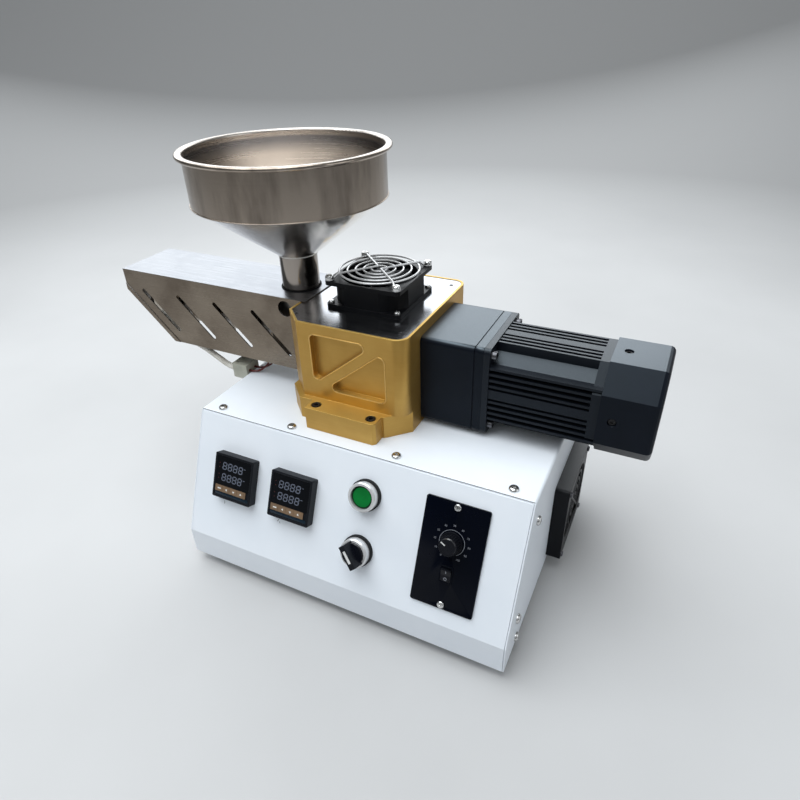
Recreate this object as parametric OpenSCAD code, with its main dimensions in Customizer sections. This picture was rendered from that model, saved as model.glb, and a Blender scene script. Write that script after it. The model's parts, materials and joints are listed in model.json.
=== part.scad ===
// Laboratory extruder: a bent-sheet console carries a milled drive block, a gear motor on its right,
// and on its left a heated barrel under a slotted cover, fed by a round hopper.
// Millimetres. X runs from the barrel to the motor, Y to the back, Z up.
// The origin is the middle of the four feet, on the bench.

/* [Console] */
// width across the front
console_w = 360; // [340:5:420]
// depth of the base, from the lower band to the rear
console_d = 281; // [270:1:320]
// height of the sheet body, without the feet
console_h = 159; // [150:1:190]
// lean of the front panel from the vertical
panel_tilt = 23.7; // [18:0.1:26]
// height of the upright band under the front panel
band_h = 32; // [28:1:40]
// thickness of the console sheet
sheet_t = 1.5; // [1.2:0.1:2]
// outer radius of the deck's side bends
bend_r = 3; // [2.5:0.5:5]
// open seam between two sheets
seam = 0.3; // [0.2:0.05:0.5]
// length of the flanges under the deck
flange_l = 18; // [14:1:24]
// diameter of a rubber foot
foot_d = 26; // [22:1:34]
// height of a rubber foot
foot_h = 12; // [8:1:20]
// distance from the console's edges to the middle of a foot
foot_inset = 38; // [30:1:50]
// radius of the foot bolt holes
foot_bolt_r = 2.75; // [2.2:0.05:3.3]

/* [Front panel] */
// side of a temperature controller's square bezel
ctrl_s = 48; // [46:1:50]
// how far a controller bezel stands out of the panel
ctrl_out = 10; // [8:1:12]
// depth of a controller behind the panel
ctrl_deep = 62; // [50:1:70]
// middle of the first controller from the left edge, as a share of the width
ctrl_at1 = 0.1572; // [0.12:0.0001:0.17]
// middle of the second controller from the left edge, as a share of the width
ctrl_at2 = 0.3531; // [0.33:0.0001:0.37]
// top edge to the middle of the controllers, down the slope
ctrl_v = 62.4; // [50:0.1:70]
// middle of the two switches from the left edge, as a share of the width
switch_at = 0.5689; // [0.54:0.0001:0.59]
// top edge to the middle of the push button
button_v = 38.4; // [34:0.1:46]
// top edge to the middle of the selector
selector_v = 95; // [88:0.1:100]
// radius of a switch bezel
bezel_r = 14.3; // [13.8:0.1:15]
// radius of the hole for a switch
switch_hole_r = 11.2; // [11.1:0.05:11.6]
// travel of the push button
button_travel = 3; // [2:0.5:4]
// how far the button's face lies under the bezel's edge
cap_drop = 2; // [1:0.1:3]
// turn of the selector knob from upright, to the left
selector_rest = 40; // [30:1:45]
// middle of the speed controller from the left edge, as a share of the width
speed_at = 0.8194; // [0.8:0.0001:0.84]
// top edge to the middle of the speed controller's plate
speed_v = 70.5; // [64:0.5:76]
// width of the speed controller's plate
speed_w = 60.6; // [56:0.1:70]
// height of the speed controller's plate
speed_h = 102.6; // [96:0.1:108]
// height of the knob over the middle of the plate
speed_knob_up = 13.5; // [8:0.1:18]
// radius of the speed knob
knob_r = 9; // [7:0.5:10]
// turn of the speed knob's pointer from upright, to the left
speed_rest = 62; // [0:1:90]
// drop of the rocker switch under the middle of the plate
rocker_down = 17.5; // [14:0.5:24]
// length of the rocker, up the slope
rocker_l = 12.4; // [10:0.2:15]
// width of the rocker
rocker_w = 9.6; // [8:0.2:12]
// tip of the rocker to each side
rocker_tip = 10; // [6:1:12]

/* [Drive block] */
// middle of the block, from the middle of the console
block_x = -24.3; // [-30:0.1:-18]
// width of the block along the drive
block_w = 135.4; // [128:0.1:142]
// depth of the block
block_d = 155; // [150:0.5:160]
// height of the block over the deck
block_h = 105; // [103:0.5:110]
// chamfer of the block's left corners
block_ch = 21.5; // [16:0.5:24]
// radius of the block's right corners
block_r = 13; // [8:0.5:16]
// height of the block's foot flange
flange_h = 24; // [20:1:28]
// how far the foot flange stands out at front and rear
flange_reach = 6; // [5:0.5:8]
// how far the bolt boss stands out at front and rear
boss_reach = 21; // [19:0.5:24]
// width of the bolt boss
boss_w = 77; // [74:1:84]
// offset of the bolt boss from the middle of the block
boss_off = 5.8; // [2:0.1:8]
// distance between the two bolts of a boss
boss_pitch = 60.8; // [56:0.1:64]
// thin rim round the top plate
rim_t = 2.5; // [2:0.1:4]
// thickness of the top plate
plate_t = 3; // [2.5:0.5:4]
// drop of the top plate under the rim
plate_drop = 0.5; // [0.3:0.1:0.8]
// long leg of a triangular pocket, between its corner centres
pocket_leg = 47.5; // [40:0.5:50]
// short leg of a triangular pocket, between its corner centres
pocket_rise = 38; // [32:0.5:40]
// corner radius of a triangular pocket
pocket_r = 5.5; // [4:0.5:6.5]
// depth of a triangular pocket
pocket_deep = 7; // [4:0.5:10]
// middle of the pockets from the middle of the block, along the drive
pocket_off = 7.2; // [0:0.1:9]
// height of the middle of the pockets over the deck
pocket_z = 65; // [62:0.5:66]
// square corner of a pocket from the middle of both, along the drive
pocket_cx = 34.3; // [32:0.1:36]
// square corner of a pocket from the middle of both, upwards
pocket_cz = 24; // [22:0.5:25]
// distance of a boss bolt from the end of its boss
boss_bolt_in = 9; // [7:0.5:10]

/* [Fan] */
// side of the square fan
fan_s = 80; // [78:1:82]
// thickness of the fan with its gasket
fan_h = 27; // [24:0.5:30]
// middle of the fan from the middle of the block, along the drive
fan_dx = 3.3; // [0:0.1:6]
// middle of the fan from the drive axis, to the back
fan_dy = 2.5; // [-4:0.1:6]
// thinnest wall of the fan's duct
fan_wall = 2; // [1.8:0.1:3]
// running gap round the blades
fan_gap = 1.5; // [1:0.1:2.5]
// distance of the fan's screws from its edges
fan_hole_in = 4.25; // [4:0.05:4.5]
// number of blades
blades = 7; // [5:1:9]
// diameter of the guard's wire
wire_d = 1.9; // [1.6:0.1:2.2]
// number of rings in the guard
guard_rings = 5; // [4:1:6]

/* [Hopper] */
// hopper axis, from the block's left face
hopper_dx = 22.5; // [21:0.1:24]
// outer radius of the bowl's band
bowl_r = 95.5; // [90:0.5:100]
// height of the rim over the deck
bowl_top = 243; // [220:1:260]
// height of the band
band_z = 45; // [36:1:60]
// height where the cone meets the neck, over the deck
neck_top = 141; // [134:1:150]
// outer radius of the neck
neck_r = 19.75; // [19:0.05:20]
// wall of the hopper
hopper_t = 1.2; // [1:0.1:2]
// width of the rolled rim
rim_w = 7; // [5:0.1:8]
// height of the rolled rim
rim_h = 4; // [3:0.1:5]
// depth of the neck in the feed throat
neck_seat = 12; // [8:0.5:16]

/* [Barrel] */
// height of the screw axis over the deck
screw_z = 64; // [62:0.5:66]
// outer radius of the barrel
barrel_r = 21; // [18:0.5:22]
// radius of the barrel's bore
bore_r = 10.3; // [8:0.1:11]
// length of the barrel out of the block
barrel_l = 236; // [225:1:240]
// outer radius of the screw
screw_r = 10; // [7:0.1:10]
// radius of the screw's root
screw_root_r = 6.5; // [5:0.1:6.8]
// lead of the screw's flight
screw_lead = 18; // [16:1:22]
// overall width of the cover
cover_w = 75.5; // [70:0.5:80]
// left end of the cover from the block's left face
cover_l = 245; // [240:1:260]
// thickness of the cover's sheet
cover_t = 1.2; // [1:0.1:1.5]
// height of the cover's lower edge over the deck
cover_low = 23.5; // [20:0.5:28]
// height of the 45 degree cut at the cover's end
cover_cut = 57.3; // [50:0.1:60]
// overlap of the cover on the block's top plate
cover_lap = 6; // [4:0.5:10]
// width of the folded hem along the cut
hem_w = 5.5; // [4:0.5:8]
// how far the hem stands proud of the wall
hem_t = 0.8; // [0.6:0.1:1.2]
// left end of the cover to the middle of the first slot
slot_first = 46.6; // [44:0.1:50]
// number of slots in the cover's wall
slots = 4; // [3:1:4]
// distance between two slots
slot_pitch = 52; // [48:0.5:54]
// overall length of a slot
slot_l = 64; // [56:1:66]
// width of a slot
slot_w = 5; // [4:0.5:6]
// number of heater bands
heaters = 3; // [2:1:3]
// width of a heater band
heater_w = 40; // [34:1:44]
// thickness of a heater band
heater_t = 4; // [3:0.5:5]
// metal of the feed throat round the barrel
throat_wall = 9; // [8:0.5:12]
// length of the terminal block
term_l = 20; // [16:1:24]
// width of the terminal block
term_w = 22; // [20:1:26]
// height of the terminal block
term_h = 18; // [16:1:20]
// middle of the heater lead's terminal in front of the drive axis
lead_y = 30; // [28:0.5:31]
// outer diameter of the lead's sleeve
lead_d = 7; // [5:0.5:8]

/* [Motor] */
// side of the square gearhead
gear_s = 90; // [86:1:92]
// length of the gearhead
gear_l = 61.6; // [56:0.1:66]
// height of the motor axis over the deck
motor_z = 50; // [48:0.5:54]
// length of the finned motor body with its flange
motor_l = 104.2; // [96:0.1:110]
// thickness of the motor's flange
motor_flange = 6; // [4:0.5:8]
// side of the finned body, over its fins
fin_s = 88; // [84:1:89]
// distance between two fins
fin_pitch = 6.1; // [5.6:0.1:6.4]
// thickness of a fin
fin_t = 2.4; // [2:0.1:2.8]
// depth of the grooves between the fins
groove_deep = 8; // [6:0.5:9]
// width of the plain strip down the middle of each side
strip_w = 9.2; // [8:0.1:10]
// outer fin of the top and bottom, from the middle
fin_out_v = 22.7; // [22:0.1:23]
// outer fin of the front and rear, from the middle
fin_out_h = 27.8; // [27:0.1:28]
// depth of the corner flats under the fins
fin_step = 8.8; // [8:0.1:9]
// length of the collar at the end of the fins
collar_l = 8; // [6:0.5:10]
// distance of the motor's bolts from the flange's edges
bolt_in = 8; // [7:0.5:9]
// side of the end cover
end_s = 92; // [90:1:94]
// length of the end cover
end_l = 48.5; // [44:0.5:56]
// corner bevel of the end cover, along each side
end_ch = 21.5; // [18:0.5:24]

/* [Side fan] */
// side of the square fan box on the right side
side_fan_s = 94; // [90:1:98]
// how far the fan box stands out of the side
side_fan_out = 15; // [10:1:20]
// middle of the fan box behind the deck's front edge, as a share of the deck's depth
side_fan_at = 0.604; // [0.55:0.001:0.66]
// middle of the fan box under the deck
side_fan_down = 104; // [98:1:106]
// frame left round the fan box's opening
side_fan_rim = 5; // [4:0.5:8]

/* [Rear and vents] */
// slots in the left side
side_vents = 7; // [5:1:8]
// distance between two slots in the left side
side_vent_pitch = 12; // [10:0.5:14]
// width of every vent slot
vent_w = 5; // [4:0.5:6]
// columns of slots in the rear
rear_vents = 9; // [6:1:10]
// height of a slot in the rear
rear_vent_l = 36; // [30:1:40]
// distance between two columns of slots in the rear
rear_vent_pitch = 14; // [12:0.5:15]
// left edge to the first column of slots
rear_vent_in = 50; // [40:1:60]
// right edge to the middle of the power inlet
inlet_in = 62; // [50:1:80]
// height of the power inlet over the base
inlet_up = 46; // [30:1:70]
// width of the power inlet's flange
inlet_w = 50; // [48:0.5:54]
// height of the power inlet's flange
inlet_h = 23; // [22:0.5:26]

/* [Hidden] */
$fn = 64;
fit = 0.15;
slip = 0.3;
run_fit = 0.08;
z_base = foot_h;
deck = foot_h + console_h;
y_front = -console_d / 2;
y_rear = console_d / 2;
panel_drop = console_h - band_h;
panel_run = panel_drop * tan(panel_tilt);
y_edge = y_front + panel_run;
axis_y = (y_edge + y_rear) / 2;
inner_w = console_w - 2 * sheet_t - 2 * seam;
foot_x = console_w / 2 - foot_inset;
foot_y = console_d / 2 - foot_inset;
block_l = block_x - block_w / 2;
block_rt = block_x + block_w / 2;
plate_top = block_h - plate_drop;
fan_x = block_x + fan_dx;
fan_y = axis_y + fan_dy;
hopper_x = block_l - hopper_dx;
cover_top = plate_top + cover_t;
throat_l = 2 * hopper_dx + 3;
throat_w = 2 * (neck_r + throat_wall);
throat_low = screw_z - barrel_r - throat_wall;
motor_x = block_rt + gear_l;
end_x = motor_x + motor_l;
fan_bore_r = fan_s / 2 - fan_wall;
fan_pitch = fan_s - 2 * fan_hole_in;
ring_pitch = (fan_s / 2 - 0.5) / guard_rings;
guard_z = fan_h + 4;
ctrl_u1 = ctrl_at1 * console_w;
ctrl_u2 = ctrl_at2 * console_w;
switch_u = switch_at * console_w;
speed_u = speed_at * console_w;
face_deep = 1.4;
face_s = ctrl_s - 5;
window_h = 0.735 * face_s;
keypad_h = face_s - window_h - 3.9;
keypad_w = face_s - 4;
key_pitch = 0.235 * keypad_w;
gasket_h = 4.5;
gasket_r = bezel_r + 1.2;
inner_r = bezel_r - 1.5;
bezel_top = 11.6;
barrel_deep = 24;
cap_r = switch_hole_r - 0.2;
plate_out = 2;
shaft_r = 3;
pin_r = 1.2;
hub_r = 17;
fan_shaft_r = 2;
side_fan_r = side_fan_s / 2 - side_fan_rim;
side_fan_y = side_fan_at * (y_rear - y_edge);
side_vent_l = 2 * side_fan_r - 4;
die_l = 24;
die_r = barrel_r - 3;
nozzle_hex = 9;
nozzle_l = 30;
end_step = 4.5;
heater_in = 14 + heater_w / 2;
post_r = 3;
inlet_x = console_w / 2 - inlet_in;
inlet_z = z_base + inlet_up;

// Places its children on the front panel: u from the left edge, v down the slope, Z out of the panel.
module on_panel(u, v) {
    translate([-console_w / 2 + u, y_edge, deck])
        rotate([90 - panel_tilt, 0, 0])
            translate([0, -v, 0])
                children();
}

// Places its children over the deck, with Y from the drive axis.
module on_deck(x, y = 0, z = 0) {
    translate([x, axis_y + y, deck + z])
        children();
}

// Turns its children's Z axis along +X.
module along_x() {
    rotate([0, 90, 0])
        rotate([0, 0, 90])
            children();
}

// Rounded rectangle about the origin.
module rrect(w, d, r) {
    square([w - 2 * r, d], center = true);
    square([w, d - 2 * r], center = true);
    for (sx = [-1, 1], sy = [-1, 1])
        translate([sx * (w / 2 - r), sy * (d / 2 - r)])
            circle(r);
}

// Square with its four corners cut at 45 degrees.
module cut_square(s, c) {
    h = s / 2;
    polygon([[-h, c - h], [c - h, -h], [h - c, -h], [h, c - h],
             [h, h - c], [h - c, h], [c - h, h], [-h, h - c]]);
}

// Straight round rod from p to q.
module rod(p, q, d) {
    v = q - p;
    translate(p)
        rotate([0, acos(v[2] / norm(v)), atan2(v[1], v[0])])
            cylinder(h = norm(v), d = d);
}

// Slot with round ends, along X.
module slot(l, w) {
    square([l - w, w], center = true);
    for (s = [-1, 1])
        translate([s * (l - w) / 2, 0])
            circle(d = w);
}

// Four corners of a rectangle.
module at_corners(w, d) {
    for (sx = [-1, 1], sy = [-1, 1])
        translate([sx * w / 2, sy * d / 2])
            children();
}

// Upright outline of the console, in Y and Z.
module console_side() {
    polygon([[y_front, z_base], [y_front, z_base + band_h], [y_edge, deck], [y_rear, deck], [y_rear, z_base]]);
}

// Bent strip of the chassis: front flange, sloping panel, band, base, rear and rear flange.
module chassis_strip() {
    t = sheet_t;
    top = deck - t;
    run = t * tan(panel_tilt);
    lean = t / cos(panel_tilt);
    soft = 0.8;
    polygon([[y_edge + flange_l, top], [y_edge - run + soft, top],
             [y_edge - run - soft * tan(panel_tilt), top - soft],
             [y_front, z_base + band_h], [y_front, z_base], [y_rear, z_base], [y_rear, top],
             [y_rear - flange_l, top], [y_rear - flange_l, top - t], [y_rear - t, top - t],
             [y_rear - t, z_base + t], [y_front + t, z_base + t],
             [y_front + t, z_base + band_h + (t - lean) / tan(panel_tilt)],
             [y_edge - 2 * run + lean, top - t], [y_edge + flange_l, top - t]]);
}

// Rear vents: two rows of upright slots.
module rear_slots() {
    row_gap = 14;
    for (i = [0:rear_vents - 1], row = [-1, 1])
        translate([rear_vent_in - console_w / 2 + rear_vent_pitch * i, y_rear,
                   z_base + console_h / 2 + row * (rear_vent_l + row_gap) / 2])
            rotate([90, 0, 0])
                linear_extrude(4 * sheet_t, center = true)
                    rotate(90)
                        slot(rear_vent_l, vent_w);
}

module chassis() {
    color("gainsboro") difference() {
        intersection() {
            translate([-inner_w / 2, 0, 0])
                rotate([90, 0, 90])
                    linear_extrude(inner_w)
                        chassis_strip();
            translate([0, y_rear + 1, 0])
                rotate([90, 0, 0])
                    linear_extrude(console_d + 2)
                        cover_arch(inner_w, deck - sheet_t, bend_r - sheet_t);
        }
        for (u = [ctrl_u1, ctrl_u2])
            on_panel(u, ctrl_v)
                cube([ctrl_s - 2.6, ctrl_s - 2.6, 20], center = true);
        for (v = [button_v, selector_v])
            on_panel(switch_u, v)
                cylinder(h = 20, r = switch_hole_r, center = true);
        on_panel(speed_u, speed_v)
            cube([speed_w - 8, speed_h - 16, 20], center = true);
        for (sx = [-1, 1], sy = [-1, 1])
            translate([sx * foot_x, sy * foot_y, z_base])
                cylinder(h = 4 * sheet_t, r = foot_bolt_r, center = true);
        rear_slots();
        translate([inlet_x, y_rear, inlet_z])
            cube([inlet_w - 20, 4 * sheet_t, inlet_h - 3], center = true);
    }
}

// Cross-section of the U-shaped console cover, in X and Z.
module cover_arch(w, top, r) {
    translate([-w / 2, z_base - 1])
        square([w, top - r - z_base + 1]);
    translate([r - w / 2, z_base - 1])
        square([w - 2 * r, top - z_base + 1]);
    for (s = [-1, 1])
        translate([s * (w / 2 - r), top - r])
            circle(r);
}

module console_cover() {
    color("whitesmoke") difference() {
        intersection() {
            translate([0, y_rear, 0])
                rotate([90, 0, 0])
                    linear_extrude(console_d)
                        difference() {
                            cover_arch(console_w, deck, bend_r);
                            cover_arch(console_w - 2 * sheet_t, deck - sheet_t, bend_r - sheet_t);
                        }
            translate([-console_w / 2, 0, 0])
                rotate([90, 0, 90])
                    linear_extrude(console_w)
                        console_side();
        }
        translate([console_w / 2, y_edge + side_fan_y, deck - side_fan_down])
            rotate([0, 90, 0])
                cylinder(h = 4 * sheet_t, r = side_fan_r, center = true);
        for (i = [0:side_vents - 1])
            translate([-console_w / 2, y_edge + side_fan_y,
                       deck - side_fan_down + side_vent_pitch * (i - (side_vents - 1) / 2)])
                rotate([90, 0, 90])
                    linear_extrude(4 * sheet_t, center = true)
                        slot(side_vent_l, vent_w);
    }
}

module rubber_feet() {
    color("black") for (sx = [-1, 1], sy = [-1, 1])
        translate([sx * foot_x, sy * foot_y, 0])
            difference() {
                cylinder(h = foot_h, d1 = foot_d - 4, d2 = foot_d);
                translate([0, 0, -1])
                    cylinder(h = foot_h + 2, r = foot_bolt_r);
            }
}

// One controller case: bezel with a shallow window recess, and the body behind the panel.
module controller_case() {
    difference() {
        linear_extrude(ctrl_out)
            rrect(ctrl_s, ctrl_s, 1.5);
        translate([0, 0, ctrl_out - face_deep])
            linear_extrude(face_deep + 1)
                rrect(face_s, face_s, 1);
    }
    translate([0, 0, -ctrl_deep / 2])
        cube([ctrl_s - 3.4, ctrl_s - 3.4, ctrl_deep], center = true);
}

module controller_left_case() {
    color("black")
        on_panel(ctrl_u1, ctrl_v)
            controller_case();
}

module controller_right_case() {
    color("black")
        on_panel(ctrl_u2, ctrl_v)
            controller_case();
}

module controller_windows() {
    color("dimgray") for (u = [ctrl_u1, ctrl_u2])
        on_panel(u, ctrl_v)
            translate([0, (face_s - window_h) / 2 - fit, ctrl_out - face_deep])
                linear_extrude(face_deep - 0.4)
                    rrect(face_s - 2 * fit, window_h - 2 * fit, 1);
}

// Key strip with four raised keys, set to the left of the face.
module controller_keypads() {
    color("tan") for (u = [ctrl_u1, ctrl_u2])
        on_panel(u, ctrl_v)
            translate([(keypad_w - face_s) / 2, (face_s - keypad_h) / 2 - window_h, ctrl_out - face_deep]) {
                linear_extrude(face_deep - 0.6)
                    rrect(keypad_w - 2 * fit, keypad_h - 2 * fit, 0.6);
                for (i = [0:3])
                    translate([(i - 1.5) * key_pitch, 0, 0])
                        linear_extrude(face_deep - 0.2)
                            rrect(0.8 * key_pitch, 0.7 * keypad_h, 0.8);
            }
}

// Black sealing ring under a switch bezel.
module switch_gasket() {
    difference() {
        cylinder(h = gasket_h, r = gasket_r);
        translate([0, 0, -1])
            cylinder(h = gasket_h + 2, r = inner_r + fit);
    }
}

// Plated bezel with its threaded barrel through the panel; well is the radius of its front bore.
module switch_bezel(well) {
    difference() {
        union() {
            translate([0, 0, gasket_h])
                cylinder(h = bezel_top - gasket_h - 1, r = bezel_r);
            translate([0, 0, bezel_top - 1])
                cylinder(h = 1, r1 = bezel_r, r2 = bezel_r - 1);
            cylinder(h = gasket_h, r = inner_r);
            translate([0, 0, -barrel_deep])
                cylinder(h = barrel_deep, r = switch_hole_r - fit);
            translate([0, 0, -sheet_t - 5])
                cylinder(h = 5, r = bezel_r, $fn = 6);
        }
        translate([0, 0, 0.5])
            cylinder(h = bezel_top, r = well);
        translate([0, 0, -barrel_deep - 1])
            cylinder(h = barrel_deep + 2, r = 8);
    }
}

module button_gasket() {
    color("black")
        on_panel(switch_u, button_v)
            switch_gasket();
}

module button_bezel() {
    color("silver")
        on_panel(switch_u, button_v)
            switch_bezel(cap_r + slip);
}

module button_cap() {
    low = 1 + button_travel;
    color("green")
        on_panel(switch_u, button_v) {
            translate([0, 0, low])
                cylinder(h = bezel_top - low - cap_drop - 0.9, r = cap_r);
            translate([0, 0, bezel_top - cap_drop - 0.9])
                cylinder(h = 0.9, r1 = cap_r, r2 = cap_r - 0.9);
            translate([0, 0, -8])
                cylinder(h = 8 + low, r = 6);
        }
}

module selector_gasket() {
    color("black")
        on_panel(switch_u, selector_v)
            switch_gasket();
}

module selector_bezel() {
    color("silver")
        on_panel(switch_u, selector_v)
            switch_bezel(cap_r + slip);
}

// Turning disc with a raised grip and an inlaid pointer line.
module selector_knob() {
    grip_l = 2 * cap_r + 2;
    grip_w = 8;
    grip_top = 23;
    color("black")
        on_panel(switch_u, selector_v)
            rotate(selector_rest)
                difference() {
                    union() {
                        translate([0, 0, 2])
                            cylinder(h = bezel_top, r = cap_r);
                        translate([0, 0, -8])
                            cylinder(h = 12, r = 6);
                        rotate([90, 0, 0])
                            linear_extrude(grip_l, center = true)
                                polygon([[-grip_w / 2 - 1, bezel_top], [grip_w / 2 + 1, bezel_top],
                                         [grip_w / 2 - 1, grip_top], [1 - grip_w / 2, grip_top]]);
                    }
                    translate([0, 0.5, grip_top])
                        cube([3, grip_l - 11, 1], center = true);
                }
}

// Plate with a knob shaft bore, a rocker seat in a low frame, and two screw holes.
module speed_controller() {
    seat_l = rocker_l + 1.6;
    seat_w = rocker_w + 2 * slip;
    color("black")
        on_panel(speed_u, speed_v)
            difference() {
                union() {
                    linear_extrude(plate_out)
                        rrect(speed_w, speed_h, 2);
                    translate([0, -rocker_down, 0])
                        linear_extrude(plate_out + 0.8)
                            rrect(seat_w + 2.4, seat_l + 2.4, 1);
                    translate([0, 0, -22])
                        cube([speed_w - 9, speed_h - 17, 44], center = true);
                }
                for (s = [-1, 1])
                    translate([0, s * (speed_h / 2 - 4.3), 0])
                        cylinder(h = 10, r = 1.7, center = true);
                translate([0, speed_knob_up, -9])
                    cylinder(h = 20, r = shaft_r + slip);
                translate([0, -rocker_down, 0]) {
                    cube([seat_w, seat_l, 18], center = true);
                    rotate([0, 90, 0])
                        cylinder(h = rocker_w + 4 + 2 * fit, r = pin_r + run_fit, center = true);
                }
            }
}

// Rocker on two pins, tipped to its lower end, with a hollow face.
module speed_rocker() {
    half = rocker_l / 2;
    high = plate_out + 1.6;
    color("black")
        on_panel(speed_u, speed_v + rocker_down)
            rotate([rocker_tip, 0, 0]) {
                rotate([90, 0, 90])
                    linear_extrude(rocker_w, center = true)
                        polygon([[-half, -3], [half, -3], [half, high], [half - 1, high + 0.3], [0, high - 0.6],
                                 [1 - half, high + 0.3], [-half, high]]);
                rotate([0, 90, 0])
                    cylinder(h = rocker_w + 4, r = pin_r, center = true);
            }
}

// Section of the speed knob's fluted grip.
module flute_section() {
    flutes = 24;
    difference() {
        circle(knob_r);
        for (i = [0:flutes - 1])
            rotate((i + 0.5) * 360 / flutes)
                translate([knob_r + 0.35, 0])
                    circle(0.9);
    }
}

// Fluted knob on its shaft, with a pointer groove on its face.
module speed_knob() {
    top = 15;
    skirt = 2.4;
    face = 1.2;
    grip = plate_out + 0.6 + skirt;
    color("black")
        on_panel(speed_u, speed_v)
            translate([0, speed_knob_up, 0])
                rotate(speed_rest)
                    difference() {
                        union() {
                            translate([0, 0, -8])
                                cylinder(h = 8 + grip, r = shaft_r);
                            translate([0, 0, grip - skirt])
                                cylinder(h = skirt, r = knob_r + 1.5);
                            translate([0, 0, grip])
                                linear_extrude(top - face - grip)
                                    flute_section();
                            translate([0, 0, top - face])
                                cylinder(h = face, r1 = knob_r - 0.8, r2 = knob_r - 1.6);
                        }
                        translate([0, knob_r - 3.5, top])
                            cube([1.4, 6, 1], center = true);
                    }
}

// Plan of the block, drawn in by e on every side, about the block's middle on the drive axis.
module block_plan(e = 0) {
    h = block_w / 2 - e;
    d = block_d / 2 - e;
    c = block_ch - e * (2 - sqrt(2));
    r = block_r - e;
    polygon([[c - h, -d], [h - r, -d], [h, r - d], [h, d - r], [h - r, d], [c - h, d], [-h, d - c], [-h, c - d]]);
    for (s = [-1, 1])
        translate([h - r, s * (d - r)])
            circle(r);
}

// Plan of the foot flange with a bolt boss at front and rear.
module flange_plan() {
    h = block_w / 2;
    d = block_d / 2 + flange_reach;
    cl = block_ch - 2;
    cr = block_ch - 0.5;
    b = boss_w / 2;
    polygon([[cl - h, -d], [h - cr, -d], [h, cr - d], [h, d - cr], [h - cr, d], [cl - h, d], [-h, d - cl], [-h, cl - d]]);
    y = block_d / 2 + boss_reach;
    soft = 3;
    polygon([[boss_off - b, -y], [boss_off + b - soft, -y], [boss_off + b, soft - y], [boss_off + b, y - soft],
             [boss_off + b - soft, y], [boss_off - b, y]]);
}

// Triangular pocket with round corners; its right angle is at the upper left.
module pocket_plan() {
    a = [0, 0];
    b = [pocket_leg, 0];
    c = [0, -pocket_rise];
    r = pocket_r;
    n = [pocket_rise, -pocket_leg] * r / norm([pocket_leg, pocket_rise]);
    polygon([[-r, 0], [0, r], b + [0, r], b + n, c + n, c - [r, 0]]);
    for (p = [a, b, c])
        translate(p)
            circle(r);
}

// Both pockets of a face, turned half round about the face's middle.
module pocket_pair() {
    for (turn = [0, 180])
        rotate(turn)
            translate([-pocket_cx, pocket_cz])
                pocket_plan();
}

module drive_block() {
    plate_seat = plate_top - plate_t;
    air_well = 46;
    color("goldenrod")
        on_deck(block_x) difference() {
            union() {
                translate([0, 0, flange_h])
                    linear_extrude(block_h - flange_h)
                        block_plan();
                linear_extrude(flange_h)
                    flange_plan();
            }
            translate([0, 0, plate_seat])
                linear_extrude(plate_t + 2)
                    block_plan(rim_t);
            translate([-block_w / 2, 0, block_h])
                cube([2 * rim_t + 2, cover_w + 1, 2 * (plate_t + plate_drop)], center = true);
            translate([fan_dx, fan_dy, plate_seat - air_well])
                cylinder(h = 2 * air_well, r = fan_bore_r - 1);
            for (turn = [0, 180])
                rotate(turn)
                    translate([turn == 0 ? pocket_off : -pocket_off, pocket_deep - block_d / 2, pocket_z])
                        rotate([90, 0, 0])
                            linear_extrude(2 * pocket_deep)
                                pocket_pair();
            for (sx = [-1, 1], sy = [-1, 1])
                translate([boss_off + sx * boss_pitch / 2, sy * (block_d / 2 + boss_reach - boss_bolt_in), -1]) {
                    cylinder(h = flange_h + 2, r = 2.75);
                    translate([0, 0, flange_h - 4.5])
                        cylinder(h = 8, r = 5.2);
                }
        }
}

module block_top_plate() {
    sx = block_w / 2 - rim_t - 9;
    sy = block_d / 2 - rim_t - 14;
    color("silver")
        on_deck(block_x, 0, plate_top - plate_t) difference() {
            linear_extrude(plate_t)
                block_plan(rim_t + fit);
            translate([fan_dx, fan_dy, -1])
                cylinder(h = plate_t + 2, r = fan_bore_r - 1);
            for (x = [-sx, sx], y = [-sy, sy])
                translate([x, y, -1])
                    cylinder(h = plate_t + 2, r = 2.1);
            translate([fan_dx, fan_dy, -1])
                at_corners(fan_pitch, fan_pitch)
                    cylinder(h = plate_t + 2, r = 1.7);
        }
}

// Square fan frame: two flanges with open corners between them, a duct, spokes and the motor seat.
module fan_frame() {
    lip = 4;
    color("black")
        on_deck(fan_x, fan_dy, plate_top) {
            difference() {
                union() {
                    for (z = [0, fan_h - lip])
                        translate([0, 0, z])
                            linear_extrude(lip)
                                rrect(fan_s, fan_s, 4);
                    intersection() {
                        translate([0, 0, fan_h / 2])
                            cube([fan_s - 1, fan_s - 1, fan_h - 1], center = true);
                        cylinder(h = fan_h, r = fan_s / 2 + 3.5);
                    }
                }
                translate([0, 0, -1])
                    cylinder(h = fan_h + 2, r = fan_bore_r);
                translate([0, 0, -1])
                    at_corners(fan_pitch, fan_pitch)
                        cylinder(h = fan_h + 2, r = 2.2);
            }
            difference() {
                cylinder(h = 3, r = hub_r - 1);
                translate([0, 0, -1])
                    cylinder(h = 5, r = fan_shaft_r + run_fit);
            }
            for (a = [45:90:315])
                rotate(a)
                    translate([hub_r - 3, -1.5, 0])
                        cube([fan_bore_r - hub_r + 4, 3, 3]);
        }
}

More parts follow.
